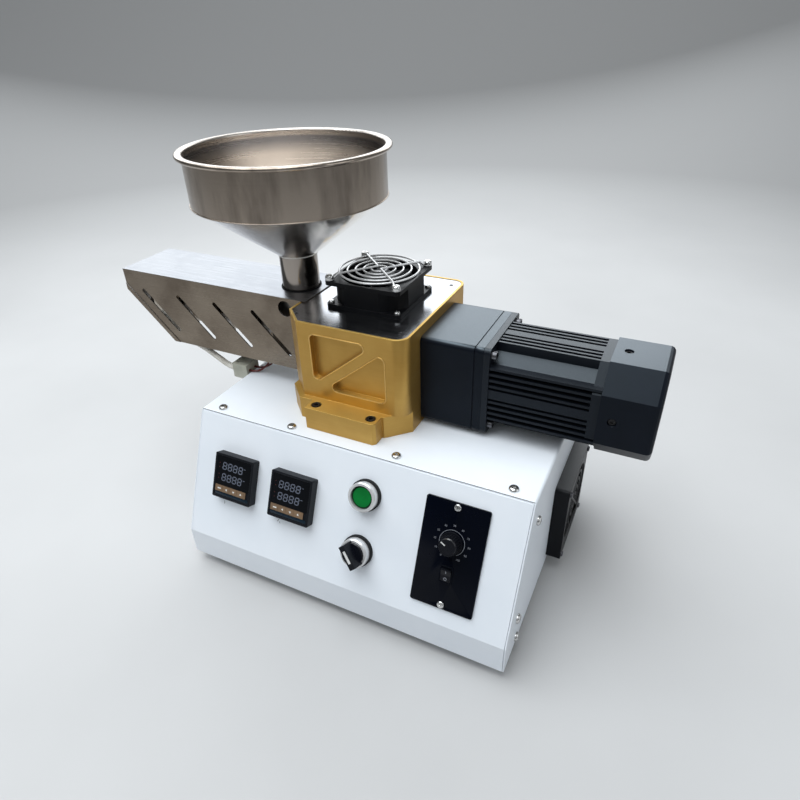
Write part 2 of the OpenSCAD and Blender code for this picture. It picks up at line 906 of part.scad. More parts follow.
// One cambered blade: a slice of a tube whose axis lies across the fan.
module fan_blade(low, high) {
    tip = fan_bore_r - fan_gap;
    half = 9;
    rise = high - low;
    bow = 30;
    chord = norm([2 * half, rise]);
    away = sqrt(bow * bow - chord * chord / 4);
    intersection() {
        translate([0, away * rise / chord, (low + high) / 2 - away * 2 * half / chord])
            rotate([0, 90, 0])
                difference() {
                    cylinder(h = tip + 1, r = bow);
                    translate([0, 0, -1])
                        cylinder(h = tip + 3, r = bow - 1.4);
                }
        translate([hub_r - 1.5, -half, low])
            cube([tip, 2 * half, rise]);
        cylinder(h = fan_h, r = tip);
    }
}

module fan_rotor() {
    low = 3 + slip;
    high = fan_h - 3;
    color("black")
        on_deck(fan_x, fan_dy, plate_top) {
            translate([0, 0, 0.5])
                cylinder(h = low, r = fan_shaft_r);
            translate([0, 0, low])
                cylinder(h = high - low - 1, r = hub_r);
            translate([0, 0, high - 1])
                cylinder(h = 1, r1 = hub_r, r2 = hub_r - 1);
            for (i = [0:blades - 1])
                rotate(i * 360 / blades)
                    fan_blade(low + 1.5, high - 2);
        }
}

// Wire guard: flat rings, two thicker wires bent to a V over them, and a screw eye at each corner.
module fan_guard() {
    eye = fan_pitch / 2;
    eye_r = 3.2;
    bar_d = 1.15 * wire_d;
    knot_d = 1.1 * bar_d;
    up = guard_z + 0.65 * wire_d;
    eye_z = fan_h + wire_d / 2 + 0.05;
    edge = guard_rings * ring_pitch / sqrt(2) + 1.5;
    bend = 3;
    color("silver")
        on_deck(fan_x, fan_dy, plate_top) {
            for (i = [1:guard_rings])
                translate([0, 0, guard_z])
                    rotate_extrude()
                        translate([i * ring_pitch, 0])
                            circle(d = wire_d);
            for (turn = [0, 180])
                rotate(turn) {
                    rod([-edge, -edge, up], [-bend, bend, up], bar_d);
                    rod([-edge, edge, up], [-bend, bend, up], bar_d);
                    translate([-bend, bend, up])
                        sphere(d = knot_d);
                }
            for (a = [45:90:315])
                rotate(a) {
                    rod([edge * sqrt(2), 0, up], [eye * sqrt(2) - eye_r, 0, eye_z], bar_d);
                    translate([edge * sqrt(2), 0, up])
                        sphere(d = knot_d);
                    translate([eye * sqrt(2), 0, eye_z])
                        rotate_extrude()
                            translate([eye_r, 0])
                                circle(d = wire_d);
                }
        }
}

// Spun bowl: neck, cone, band and rolled rim.
module hopper() {
    low = plate_top - neck_seat;
    cone_top = bowl_top - band_z;
    lift = hopper_t / 2;
    color("silver")
        on_deck(hopper_x) {
            rotate_extrude()
                polygon([[neck_r, low], [neck_r, neck_top], [bowl_r, cone_top], [bowl_r, bowl_top],
                         [bowl_r - hopper_t, bowl_top], [bowl_r - hopper_t, cone_top + lift],
                         [neck_r - hopper_t, neck_top + lift], [neck_r - hopper_t, low]]);
            translate([0, 0, bowl_top])
                rotate_extrude()
                    translate([bowl_r - hopper_t + rim_w / 2, 0])
                        slot(rim_w, rim_h);
        }
}

module hopper_seal() {
    d = 3;
    color("black")
        on_deck(hopper_x, 0, cover_top + d / 2 + 0.05)
            rotate_extrude()
                translate([neck_r + d / 2 + fit, 0])
                    circle(d = d);
}

// Side wall of the barrel cover: sloped end, diagonal slots and a round port.
module cover_wall() {
    top = cover_top - 0.5;
    first = slot_first - cover_l;
    difference() {
        polygon([[0, cover_low], [cover_cut - cover_l, cover_low], [-cover_l, cover_low + cover_cut],
                 [-cover_l, top], [0, top]]);
        for (i = [0:slots - 1])
            translate([first + i * slot_pitch, screw_z - 2.5])
                rotate(-45)
                    slot(slot_l, slot_w);
        translate([hopper_x - block_l + 2.8, cover_top - 12])
            circle(8.5);
    }
}

// Hem folded back along the cut.
module cover_hem() {
    a = [cover_cut - cover_l, cover_low];
    b = [-cover_l, cover_low + cover_cut];
    in = hem_w * sqrt(2);
    polygon([a, b, b + [0, in], a + [in, 0]]);
}

module barrel_cover() {
    color("lightgray")
        on_deck(block_l) difference() {
            union() {
                translate([-cover_l, -cover_w / 2, cover_top - cover_t])
                    cube([cover_l + cover_lap, cover_w, cover_t]);
                for (s = [-1, 1])
                    translate([0, s * (cover_w - cover_t) / 2 + cover_t / 2, 0])
                        rotate([90, 0, 0])
                            linear_extrude(cover_t)
                                cover_wall();
                for (s = [-1, 1])
                    translate([0, s * (cover_w + hem_t) / 2 + hem_t / 2, 0])
                        rotate([90, 0, 0])
                            linear_extrude(hem_t)
                                cover_hem();
            }
            translate([-hopper_dx, 0, cover_top])
                cylinder(h = 10, r = neck_r + slip, center = true);
        }
}

// Feed block under the cover: socket for the neck, drop hole and the barrel's seat.
module feed_throat() {
    high = plate_top - throat_low;
    color("dimgray")
        on_deck(block_l) difference() {
            translate([-throat_l, -throat_w / 2, throat_low])
                cube([throat_l, throat_w, high]);
            translate([-hopper_dx, 0, plate_top - neck_seat - fit])
                cylinder(h = neck_seat + 5, r = neck_r + fit);
            translate([-hopper_dx, 0, screw_z])
                cylinder(h = high, r = neck_r - 4);
            translate([-throat_l - 1, 0, screw_z])
                along_x()
                    cylinder(h = throat_l + 2, r = barrel_r + fit);
        }
}

module barrel() {
    color("silver")
        on_deck(block_l, 0, screw_z) difference() {
            union() {
                translate([-barrel_l, 0, 0])
                    along_x()
                        cylinder(h = barrel_l, r = barrel_r);
                translate([-barrel_l, 0, 0])
                    along_x()
                        cylinder(h = 8, r = barrel_r + 3);
            }
            translate([-barrel_l - 1, 0, 0])
                along_x()
                    cylinder(h = barrel_l + 2, r = bore_r);
            translate([-hopper_dx, 0, 0])
                cylinder(h = 2 * barrel_r, r = bore_r - 1.5);
        }
}

// Screw: a plain root with one helical flight where the feed opening shows it.
module feed_screw() {
    turns = 3;
    zone = turns * screw_lead;
    color("gray")
        on_deck(block_l, 0, screw_z) {
            translate([-barrel_l + 20, 0, 0])
                along_x()
                    cylinder(h = barrel_l - 20, r = screw_root_r);
            translate([-zone, 0, 0])
                along_x()
                    linear_extrude(zone, twist = -360 * turns, slices = 16 * turns, segments = 4)
                        polygon([[screw_root_r - 1, -1.6], [screw_r, -1.2], [screw_r, 1.2], [screw_root_r - 1, 1.6]]);
        }
}

// Clamped heater bands with a split, a clamp ear on each side of it and a terminal post.
module heater_bands() {
    r = barrel_r + fit;
    first = heater_in - barrel_l;
    pitch = (barrel_l - throat_l - 18) / heaters;
    color("silver")
        for (i = [0:heaters - 1])
            on_deck(block_l + first + i * pitch, 0, screw_z)
                difference() {
                    union() {
                        translate([-heater_w / 2, 0, 0])
                            along_x()
                                cylinder(h = heater_w, r = r + heater_t);
                        for (s = [-1, 1])
                            translate([0, s * 4, -r - heater_t - 3])
                                cube([heater_w * 0.7, 3, 14], center = true);
                        translate([0, -r - heater_t + 1, 0])
                            rotate([90, 0, 0])
                                cylinder(h = 5, r = post_r);
                    }
                    translate([-heater_w / 2 - 1, 0, 0])
                        along_x()
                            cylinder(h = heater_w + 2, r = r);
                    translate([0, 0, -r])
                        cube([heater_w + 2, 5, 30], center = true);
                    translate([0, 0, -r - heater_t - 6])
                        rotate([90, 0, 0])
                            cylinder(h = 30, r = 2.1, center = true);
                }
}

// Die head screwed on the barrel's end, tapered towards the nozzle.
module die_head() {
    color("dimgray")
        on_deck(block_l - barrel_l - die_l, 0, screw_z) difference() {
            union() {
                translate([6, 0, 0])
                    along_x()
                        cylinder(h = die_l - 6, r = die_r);
                along_x()
                    cylinder(h = 6, r1 = die_r - 6, r2 = die_r);
            }
            translate([-1, 0, 0])
                along_x()
                    cylinder(h = die_l + 2, r = 4);
        }
}

// Hexagon nozzle with a short tip.
module nozzle() {
    color("goldenrod")
        on_deck(block_l - barrel_l - die_l - nozzle_l, 0, screw_z) difference() {
            union() {
                translate([18, 0, 0])
                    along_x()
                        cylinder(h = 12, r = nozzle_hex, $fn = 6);
                translate([4, 0, 0])
                    along_x()
                        cylinder(h = 15, r = 6.5);
                along_x()
                    cylinder(h = 4, r1 = 3.5, r2 = 6.5);
            }
            translate([-1, 0, 0])
                along_x()
                    cylinder(h = nozzle_l + 2, r = 1.5);
        }
}

// Ceramic terminal block on the console's left side.
module terminal_block() {
    bore_z = term_h / 2;
    color("beige")
        translate([-console_w / 2 - term_l, axis_y - lead_y - 6, deck - bore_z + 1])
            difference() {
                cube([term_l, term_w, term_h]);
                for (y = [6, term_w - 6]) {
                    translate([-1, y, bore_z])
                        rotate([0, 90, 0])
                            cylinder(h = term_l + 2, r = 2.6);
                    translate([term_l / 4, y, bore_z])
                        cylinder(h = term_h, r = 2.2);
                }
            }
}

// Sleeved lead from the first heater band's post down and along to the terminal block.
module heater_lead() {
    end = [-console_w / 2 - term_l, -lead_y, 1];
    post = [block_l - barrel_l + heater_in, -lead_y, screw_z - post_r - 0.05];
    drop = post - [0, 0, 2.1 * lead_d];
    entry = end - [1.2 * lead_d, 0, 0];
    knee = [end[0] - 2 * term_l, -lead_y, 17];
    line = [post, drop, drop + [1.4 * lead_d, 0, -1.9 * lead_d], knee - [3.1 * lead_d, 0, -1.2 * lead_d],
            knee, entry, end];
    color("white")
        on_deck(0) {
            for (i = [1:len(line) - 1])
                rod(line[i - 1], line[i], lead_d);
            for (i = [1:len(line) - 2])
                translate(line[i])
                    sphere(d = 1.1 * lead_d);
        }
}

// Gearhead: a rounded square case with a joint groove near the motor.
module gearhead() {
    r = 5;
    cap_l = 8;
    groove = 0.8;
    color("darkslategray")
        on_deck(block_rt, 0, motor_z) along_x() {
            linear_extrude(gear_l - cap_l - groove)
                rrect(gear_s, gear_s, r);
            translate([0, 0, gear_l - cap_l - groove])
                linear_extrude(groove)
                    rrect(gear_s - 2 * groove, gear_s - 2 * groove, r - groove);
            translate([0, 0, gear_l - cap_l])
                linear_extrude(cap_l)
                    rrect(gear_s, gear_s, r);
        }
}

// One side's grooves: between the fins out to edge, and beside the plain strip down the middle.
module side_grooves(edge, fins) {
    inner = edge - (fins - 1) * fin_pitch - fin_t;
    for (s = [-1, 1]) {
        for (i = [0:fins - 2])
            translate([s * (edge - fin_t - i * fin_pitch - (fin_pitch - fin_t) / 2), fin_s / 2])
                square([fin_pitch - fin_t, 2 * groove_deep], center = true);
        translate([s * (inner + strip_w / 2) / 2, fin_s / 2])
            square([inner - strip_w / 2, 2 * groove_deep], center = true);
    }
}

// Section of the finned motor body, with plain flats set low between the outer fins of two sides.
module fin_section() {
    h = fin_s / 2;
    v = fin_out_v;
    w = fin_out_h;
    low = h - fin_step;
    difference() {
        polygon([[-v, h], [v, h], [v, low], [low, w], [h, w], [h, -w], [low, -w], [v, -low], [v, -h],
                 [-v, -h], [-v, -low], [-low, -w], [-h, -w], [-h, w], [-low, w], [-v, low]]);
        for (turn = [0, 180])
            rotate(turn) {
                side_grooves(v, 3);
                rotate(90)
                    side_grooves(w, 4);
            }
    }
}

// Flange, finned length and collar, with a well behind each flange bolt.
module motor_body() {
    well_l = 15;
    color("black")
        on_deck(motor_x, 0, motor_z) along_x() difference() {
            union() {
                linear_extrude(motor_flange)
                    rrect(gear_s, gear_s, 5);
                translate([0, 0, motor_flange])
                    linear_extrude(motor_l - motor_flange)
                        fin_section();
                translate([0, 0, motor_l - collar_l])
                    linear_extrude(collar_l)
                        cut_square(fin_s, end_ch);
            }
            at_corners(gear_s - 2 * bolt_in, gear_s - 2 * bolt_in) {
                translate([0, 0, -1])
                    cylinder(h = motor_flange + 2, r = 2.7);
                translate([0, 0, motor_flange])
                    cylinder(h = well_l, r = bolt_in);
            }
        }
}

// Side of the end cover where its rounded end has turned by a degrees.
function end_side(a) = end_s - 2 * end_step * (1 - cos(a));

// Fan cowl at the motor's end: bevelled corners, rounded end, screw wells and slots in the end face.
module motor_end_cover() {
    color("darkslategray")
        on_deck(end_x, 0, motor_z) along_x() difference() {
            union() {
                linear_extrude(end_l - end_step)
                    cut_square(end_s, end_ch);
                for (a = [0:30:60])
                    translate([0, 0, end_l - end_step * (1 - sin(a))])
                        linear_extrude(end_step * (sin(a + 30) - sin(a)), scale = end_side(a + 30) / end_side(a))
                            cut_square(end_side(a), end_ch * end_side(a) / end_s);
            }
            for (side = [0:3])
                rotate(90 * side)
                    translate([0, end_s / 2, 12])
                        rotate([90, 0, 0])
                            cylinder(h = 8, r = 4, center = true);
            for (i = [-3:3])
                translate([0, end_s / 10 * i, end_l])
                    linear_extrude(10, center = true)
                        slot(end_s - end_ch - 4 - 4 * abs(i), 4);
        }
}

// Fan box on the console's right side with a ringed grille.
module side_fan_box() {
    r = side_fan_r;
    bar = 2.4;
    color("black")
        translate([console_w / 2, y_edge + side_fan_y, deck - side_fan_down])
            along_x() {
                difference() {
                    linear_extrude(side_fan_out)
                        rrect(side_fan_s, side_fan_s, 4);
                    translate([0, 0, -1])
                        cylinder(h = side_fan_out + 2, r = r);
                }
                translate([0, 0, side_fan_out - 3]) {
                    for (i = [1:4])
                        difference() {
                            cylinder(h = 2.5, r = i * r / 5 + bar / 2);
                            translate([0, 0, -1])
                                cylinder(h = 5, r = i * r / 5 - bar / 2);
                        }
                    for (a = [0, 90])
                        rotate(a + 45)
                            translate([-r - 1, -bar / 2, 0])
                                cube([2 * r + 2, bar, 2.5]);
                }
                cylinder(h = side_fan_out - 4, r = 15);
                for (a = [0:90:270])
                    rotate(a)
                        translate([14, -2, 0])
                            cube([r - 13, 4, 4]);
            }
}

// Power inlet in the rear panel: flange with a socket well and three blades.
module power_inlet() {
    color("black")
        translate([inlet_x, y_rear, inlet_z])
            rotate([90, 0, 180]) {
                difference() {
                    union() {
                        linear_extrude(2.5)
                            rrect(inlet_w, inlet_h, 3);
                        translate([0, 0, -11])
                            cube([inlet_w - 21, inlet_h - 4, 22], center = true);
                    }
                    translate([0, 0, -15])
                        linear_extrude(20)
                            rrect(24, 16, 3);
                    for (s = [-1, 1])
                        translate([s * 20, 0, 0])
                            cylinder(h = 12, r = 1.6, center = true);
                }
                for (p = [[-7, -2], [0, 2], [7, -2]])
                    translate([p[0] - 1, p[1] - 2, -15.5])
                        cube([2, 4, 14]);
            }
}

chassis();
console_cover();
rubber_feet();
controller_left_case();
controller_right_case();
controller_windows();
controller_keypads();
button_gasket();
button_bezel();
button_cap();
selector_gasket();
selector_bezel();
selector_knob();
speed_controller();
speed_knob();
speed_rocker();
drive_block();
block_top_plate();
fan_frame();
fan_rotor();
fan_guard();
hopper();
hopper_seal();
barrel_cover();
feed_throat();
barrel();
feed_screw();
heater_bands();
die_head();
nozzle();
terminal_block();
heater_lead();
gearhead();
motor_body();
motor_end_cover();
side_fan_box();
power_inlet();
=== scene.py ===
import json
import math

import bmesh
import bpy
import numpy as np
from mathutils import Matrix, Vector


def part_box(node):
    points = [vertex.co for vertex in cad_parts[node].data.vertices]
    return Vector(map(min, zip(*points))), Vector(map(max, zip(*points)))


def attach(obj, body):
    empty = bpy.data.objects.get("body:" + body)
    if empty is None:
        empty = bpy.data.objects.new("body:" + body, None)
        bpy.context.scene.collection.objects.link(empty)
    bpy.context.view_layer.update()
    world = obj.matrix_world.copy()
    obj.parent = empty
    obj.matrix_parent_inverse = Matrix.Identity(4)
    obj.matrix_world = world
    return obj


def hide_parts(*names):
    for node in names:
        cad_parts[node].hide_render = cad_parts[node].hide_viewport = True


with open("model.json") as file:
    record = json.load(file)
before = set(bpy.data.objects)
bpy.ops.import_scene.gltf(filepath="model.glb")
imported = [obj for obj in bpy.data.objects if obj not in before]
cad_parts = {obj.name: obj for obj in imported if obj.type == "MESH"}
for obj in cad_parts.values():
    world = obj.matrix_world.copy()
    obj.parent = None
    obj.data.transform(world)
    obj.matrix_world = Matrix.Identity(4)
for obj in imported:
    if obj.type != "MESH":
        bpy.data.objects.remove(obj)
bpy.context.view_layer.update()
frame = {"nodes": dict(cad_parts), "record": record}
nodes = frame["nodes"]
mm = 0.001
scene = bpy.context.scene
scene.view_settings.view_transform = "Standard"
print("frame loaded,", len(nodes), "nodes")

# the photograph's view: lens on a 36 mm sensor, place in mm, angles in degrees
view = dict(lens=27.18, place=(250.0, -469.75, 518.2), yaw=26.83, pitch=32.74, roll=-1.76)


def setCamera(v):
    # ahead from yaw and pitch, then the picture's axes turned by the roll
    yaw, pitch, roll = (math.radians(v[k]) for k in ("yaw", "pitch", "roll"))
    ahead = Vector((-math.sin(yaw) * math.cos(pitch), math.cos(yaw) * math.cos(pitch), -math.sin(pitch)))
    level = Vector((math.cos(yaw), math.sin(yaw), 0.0))
    rise = level.cross(ahead)
    across = math.cos(roll) * level + math.sin(roll) * rise
    above = math.cos(roll) * rise - math.sin(roll) * level
    data = bpy.data.cameras.new("camera")
    data.lens, data.sensor_width, data.clip_start, data.clip_end = v["lens"], 36.0, 0.02, 100.0
    cam = bpy.data.objects.new("camera", data)
    place = Vector(v["place"]) * mm
    cam.matrix_world = Matrix((across, above, -ahead)).transposed().to_4x4()
    cam.matrix_world.translation = place
    scene.collection.objects.link(cam)
    scene.camera = cam


setCamera(view)
print("camera set")

# where the machine's faces lie, in mm
lay = dict(left=-180.0, right=180.0, deck=171.0, edgeY=-84.751, lean=23.7, axisY=27.875, motorZ=221.0)
lean = math.radians(lay["lean"])
upright = np.eye(3)                                                          # columns: x, y, out
rightSide = np.array([[0, 0, 1], [1, 0, 0], [0, 1, 0]], float)
leftSide = np.array([[0, 0, -1], [-1, 0, 0], [0, 1, 0]], float)
frontSide = np.array([[1, 0, 0], [0, 0, -1], [0, 1, 0]], float)
rearSide = np.array([[-1, 0, 0], [0, 0, 1], [0, 1, 0]], float)
panelSide = np.array([[1, 0, 0], [0, math.sin(lean), -math.cos(lean)], [0, math.cos(lean), math.sin(lean)]])
panelZero = np.array([lay["left"], lay["edgeY"], lay["deck"]])


def onPanel(u, v, w=0.0):
    # point of the sloping panel: u from its left edge, v down from its top edge, w out of it
    return panelZero + panelSide @ np.array([u, -v, w])


def gridQuads(rows, cols, wrapRows=False, wrapCols=False):
    # quads between neighbouring rows and columns, the last joined to the first where it wraps
    i = np.arange(rows if wrapRows else rows - 1)[:, None]
    j = np.arange(cols if wrapCols else cols - 1)[None, :]
    ni, nj = (i + 1) % rows, (j + 1) % cols
    quads = np.broadcast_arrays(i * cols + j, i * cols + nj, ni * cols + nj, ni * cols + j)
    return np.stack(quads, -1).reshape(-1, 4)


def copies(shape, spots, axes, turns=0.0):
    # the same surface at several spots: each copy turned about its own out axis, then set in the given axes
    verts, quads = shape
    spots = np.atleast_2d(np.asarray(spots, float))
    t = np.broadcast_to(np.radians(turns), len(spots))
    spin = np.zeros((len(spots), 3, 3))
    spin[:, 0, 0], spin[:, 0, 1], spin[:, 1, 0], spin[:, 1, 1] = np.cos(t), -np.sin(t), np.sin(t), np.cos(t)
    spin[:, 2, 2] = 1.0
    world = np.einsum("ij,njk,vk->nvi", axes, spin, verts) + spots[:, None, :]
    steps = np.arange(len(spots))[:, None, None] * len(verts)
    return world.reshape(-1, 3), (quads[None] + steps).reshape(-1, 4)


def moved(shape, step):
    # the same surface shifted by a step
    return shape[0] + step, shape[1]


def joined(*shapes):
    # several surfaces as one list of points and quads
    starts = np.cumsum([0] + [len(v) for v, q in shapes[:-1]])
    verts = np.concatenate([v for v, q in shapes])
    return verts, np.concatenate([q + s for (v, q), s in zip(shapes, starts)])


def corners(middle, half):
    # four spots about a middle, half a pitch away each way
    return [(middle[0] + a * half[0], middle[1] + b * half[1]) for a in (-1, 1) for b in (-1, 1)]


def putPiece(name, shape, finish, body="machine", closed=True, angle=35.0):
    # points in mm to a mesh in metres, poles welded, faces turned outwards, sharp edges by angle
    verts, quads = shape
    mesh = bpy.data.meshes.new(name)
    mesh.from_pydata((np.asarray(verts) * mm).tolist(), [], np.asarray(quads).tolist())
    work = bmesh.new()
    work.from_mesh(mesh)
    bmesh.ops.remove_doubles(work, verts=work.verts, dist=1e-7)
    bmesh.ops.dissolve_degenerate(work, edges=work.edges, dist=1e-8)
    if closed:
        bmesh.ops.recalc_face_normals(work, faces=work.faces)
    work.to_mesh(mesh)
    work.free()
    mesh.shade_smooth()
    mesh.set_sharp_from_angle(angle=math.radians(angle))
    mesh.materials.append(finishes[finish])
    piece = bpy.data.objects.new(name, mesh)
    scene.collection.objects.link(piece)
    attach(piece, body)
    return piece


def fullTurn(count):
    # even angles round a circle, the last one step short of the first
    return np.linspace(0, 2 * np.pi, count, endpoint=False)


cross = dict(root=0.36, arm=0.30)                                            # share of the radius, half angle of an arm


def turned(profile, kinds=None, steps=36):
    # turned form: point at angle a of ring i has radius r_i times that ring's outline, and height z_i;
    # outlines are o for round, h for a hexagon and x for a cross with soft arms
    r, z = np.array(profile, float).T
    a = fullTurn(steps)
    arm = np.abs((a + np.pi / 4) % (np.pi / 2) - np.pi / 4)
    outline = dict(o=np.ones(steps),
                   h=np.cos(np.pi / 6) / np.cos(a % (np.pi / 3) - np.pi / 6),
                   x=cross["root"] + (1 - cross["root"]) * np.exp(-(arm / cross["arm"]) ** 4))
    kinds = kinds or "o" * len(r)
    reach = r[:, None] * np.stack([outline[k] for k in kinds])
    verts = np.stack([reach * np.cos(a), reach * np.sin(a), np.broadcast_to(z[:, None], reach.shape)], -1)
    return verts.reshape(-1, 3), gridQuads(len(r), steps, wrapCols=True)


def tubeAlong(path, radius, around=24, ref=(0.0, 1.0, 0.0), loop=False):
    # round section carried along a path: side axis = path direction x ref, second axis square to both
    path = np.asarray(path, float)
    run = np.roll(path, -1, 0) - np.roll(path, 1, 0) if loop else np.gradient(path, axis=0)
    run /= np.linalg.norm(run, axis=1, keepdims=True)
    side = np.cross(run, np.asarray(ref))
    side /= np.linalg.norm(side, axis=1, keepdims=True)
    other = np.cross(side, run)
    a = fullTurn(around)
    r = np.broadcast_to(radius, (len(path), around))
    spoke = np.cos(a)[:, None] * side[:, None] + np.sin(a)[:, None] * other[:, None]
    verts = path[:, None] + r[..., None] * spoke
    if not loop:
        ends = np.broadcast_to(path[[0, -1]][:, None], (2, around, 3))
        verts = np.concatenate([ends[:1], verts, ends[1:]])
    return verts.reshape(-1, 3), gridQuads(len(verts), around, loop, True)


def smoothRoute(points, count):
    # cubic curve through the points: slopes from their neighbours, evenly spread along the length
    p = np.asarray(points, float)
    s = np.concatenate([[0.0], np.cumsum(np.linalg.norm(np.diff(p, axis=0), axis=1))])
    slope = np.gradient(p, s, axis=0)
    t = np.linspace(0, s[-1], count)
    k = np.clip(np.searchsorted(s, t, side="right") - 1, 0, len(s) - 2)
    h = (s[k + 1] - s[k])[:, None]
    x = (t[:, None] - s[k][:, None]) / h
    return ((2 * x**3 - 3 * x**2 + 1) * p[k] + (x**3 - 2 * x**2 + x) * h * slope[k]
            + (3 * x**2 - 2 * x**3) * p[k + 1] + (x**3 - x**2) * h * slope[k + 1])


def flatStrip(low, high, z):
    # level rectangle from low to high corner at height z
    (x0, y0), (x1, y1) = low, high
    return np.array([[x0, y0, z], [x1, y0, z], [x1, y1, z], [x0, y1, z]], float), np.array([[0, 1, 2, 3]])


def flatRing(inner, outer, start, end, z, steps=72):
    # level band between two radii, from one angle to the other, in degrees
    a = np.radians(np.linspace(start, end, steps))
    r = np.array([inner, outer])[:, None]
    verts = np.stack([r * np.cos(a), r * np.sin(a), np.full((2, steps), z)], -1).reshape(-1, 3)
    return verts, gridQuads(2, steps)[:, ::-1]


def tone(r, g, b):
    # screen colour 0..255 to the linear value that a shader takes
    c = np.array([r, g, b]) / 255.0
    c = np.where(c <= 0.04045, c / 12.92, ((c + 0.055) / 1.055) ** 2.4)
    return (*c.tolist(), 1.0)


def readNoise(tree, vector, scale, stretch, detail, rough=0.55):
    # noise in object coordinates, stretched along an axis for drawn or brushed lines
    grow = tree.nodes.new("ShaderNodeMapping")
    grow.inputs["Scale"].default_value = stretch
    noise = tree.nodes.new("ShaderNodeTexNoise")
    noise.inputs["Scale"].default_value = scale
    noise.inputs["Detail"].default_value = detail
    noise.inputs["Roughness"].default_value = rough
    tree.links.new(vector, grow.inputs["Vector"])
    tree.links.new(grow.outputs["Vector"], noise.inputs["Vector"])
    return noise.outputs["Fac"]


def remap(tree, value, fromLow, fromHigh, toLow, toHigh):
    # straight line from one span to the other, held at both ends
    node = tree.nodes.new("ShaderNodeMapRange")
    for key, number in zip(("From Min", "From Max", "To Min", "To Max"), (fromLow, fromHigh, toLow, toHigh)):
        node.inputs[key].default_value = number
    tree.links.new(value, node.inputs["Value"])
    return node.outputs["Result"]


def reckon(tree, kind, a, b):
    # sum or product of two sockets, or of a socket and a number
    node = tree.nodes.new("ShaderNodeMath")
    node.operation = kind
    for socket, value in zip(node.inputs, (a, b)):
        if isinstance(value, (int, float)):
            socket.default_value = value
        else:
            tree.links.new(value, socket)
    return node.outputs[0]


def mixTone(tree, share, first, second):
    # first tone where the share is 0, second where it is 1
    node = tree.nodes.new("ShaderNodeMix")
    node.data_type = "RGBA"
    tree.links.new(share, node.inputs[0])
    for socket, value in ((node.inputs[6], first), (node.inputs[7], second)):
        if isinstance(value, tuple):
            socket.default_value = value
        else:
            tree.links.new(value, socket)
    return node.outputs[2]


# limits between which noise, facing and inward turn go from none to full
spans = dict(patch=(0.36, 0.64), grain=(0.3, 0.7), paintedTopLight=(0.3, 0.95), upShine=(0.7, 0.98), inward=(-0.002, -0.01))
noiseDetail = dict(patch=4.0, grain=2.0, stainsAndReflections=5.0, wave=1.0)
spunShare = 0.012                                                            # of the way across, in a spun grain


def fromAxis(tree, vector, centre):
    # place measured from an upright axis: whole, and with its height dropped
    shift = tree.nodes.new("ShaderNodeMapping")
    shift.inputs["Location"].default_value = (-centre[0] * mm, -centre[1] * mm, 0.0)
    flat = tree.nodes.new("ShaderNodeVectorMath")
    flat.operation = "MULTIPLY"
    flat.inputs[1].default_value = (1.0, 1.0, 0.0)
    tree.links.new(vector, shift.inputs["Vector"])
    tree.links.new(shift.outputs[0], flat.inputs[0])
    return shift.outputs[0], flat.outputs[0]


def spunVector(tree, vector, centre):
    # radius from the turning axis, a little of the way across, and height: noise read there runs in rings
    whole, flat = fromAxis(tree, vector, centre)
    reach = tree.nodes.new("ShaderNodeVectorMath")
    reach.operation = "LENGTH"
    parts = tree.nodes.new("ShaderNodeSeparateXYZ")
    out = tree.nodes.new("ShaderNodeCombineXYZ")
    tree.links.new(flat, reach.inputs[0])
    tree.links.new(whole, parts.inputs[0])
    tree.links.new(reach.outputs["Value"], out.inputs["X"])
    tree.links.new(reckon(tree, "MULTIPLY", parts.outputs["X"], spunShare), out.inputs["Y"])
    tree.links.new(parts.outputs["Z"], out.inputs["Z"])
    return out.outputs[0]


def insideShare(tree, vector, normal, centre):
    # 1 where a turned shell faces its own axis: normal times the way out from the axis falls below nought
    out = tree.nodes.new("ShaderNodeVectorMath")
    out.operation = "DOT_PRODUCT"
    tree.links.new(fromAxis(tree, vector, centre)[1], out.inputs[0])
    tree.links.new(normal, out.inputs[1])
    return remap(tree, out.outputs["Value"], *spans["inward"], 0.0, 1.0)


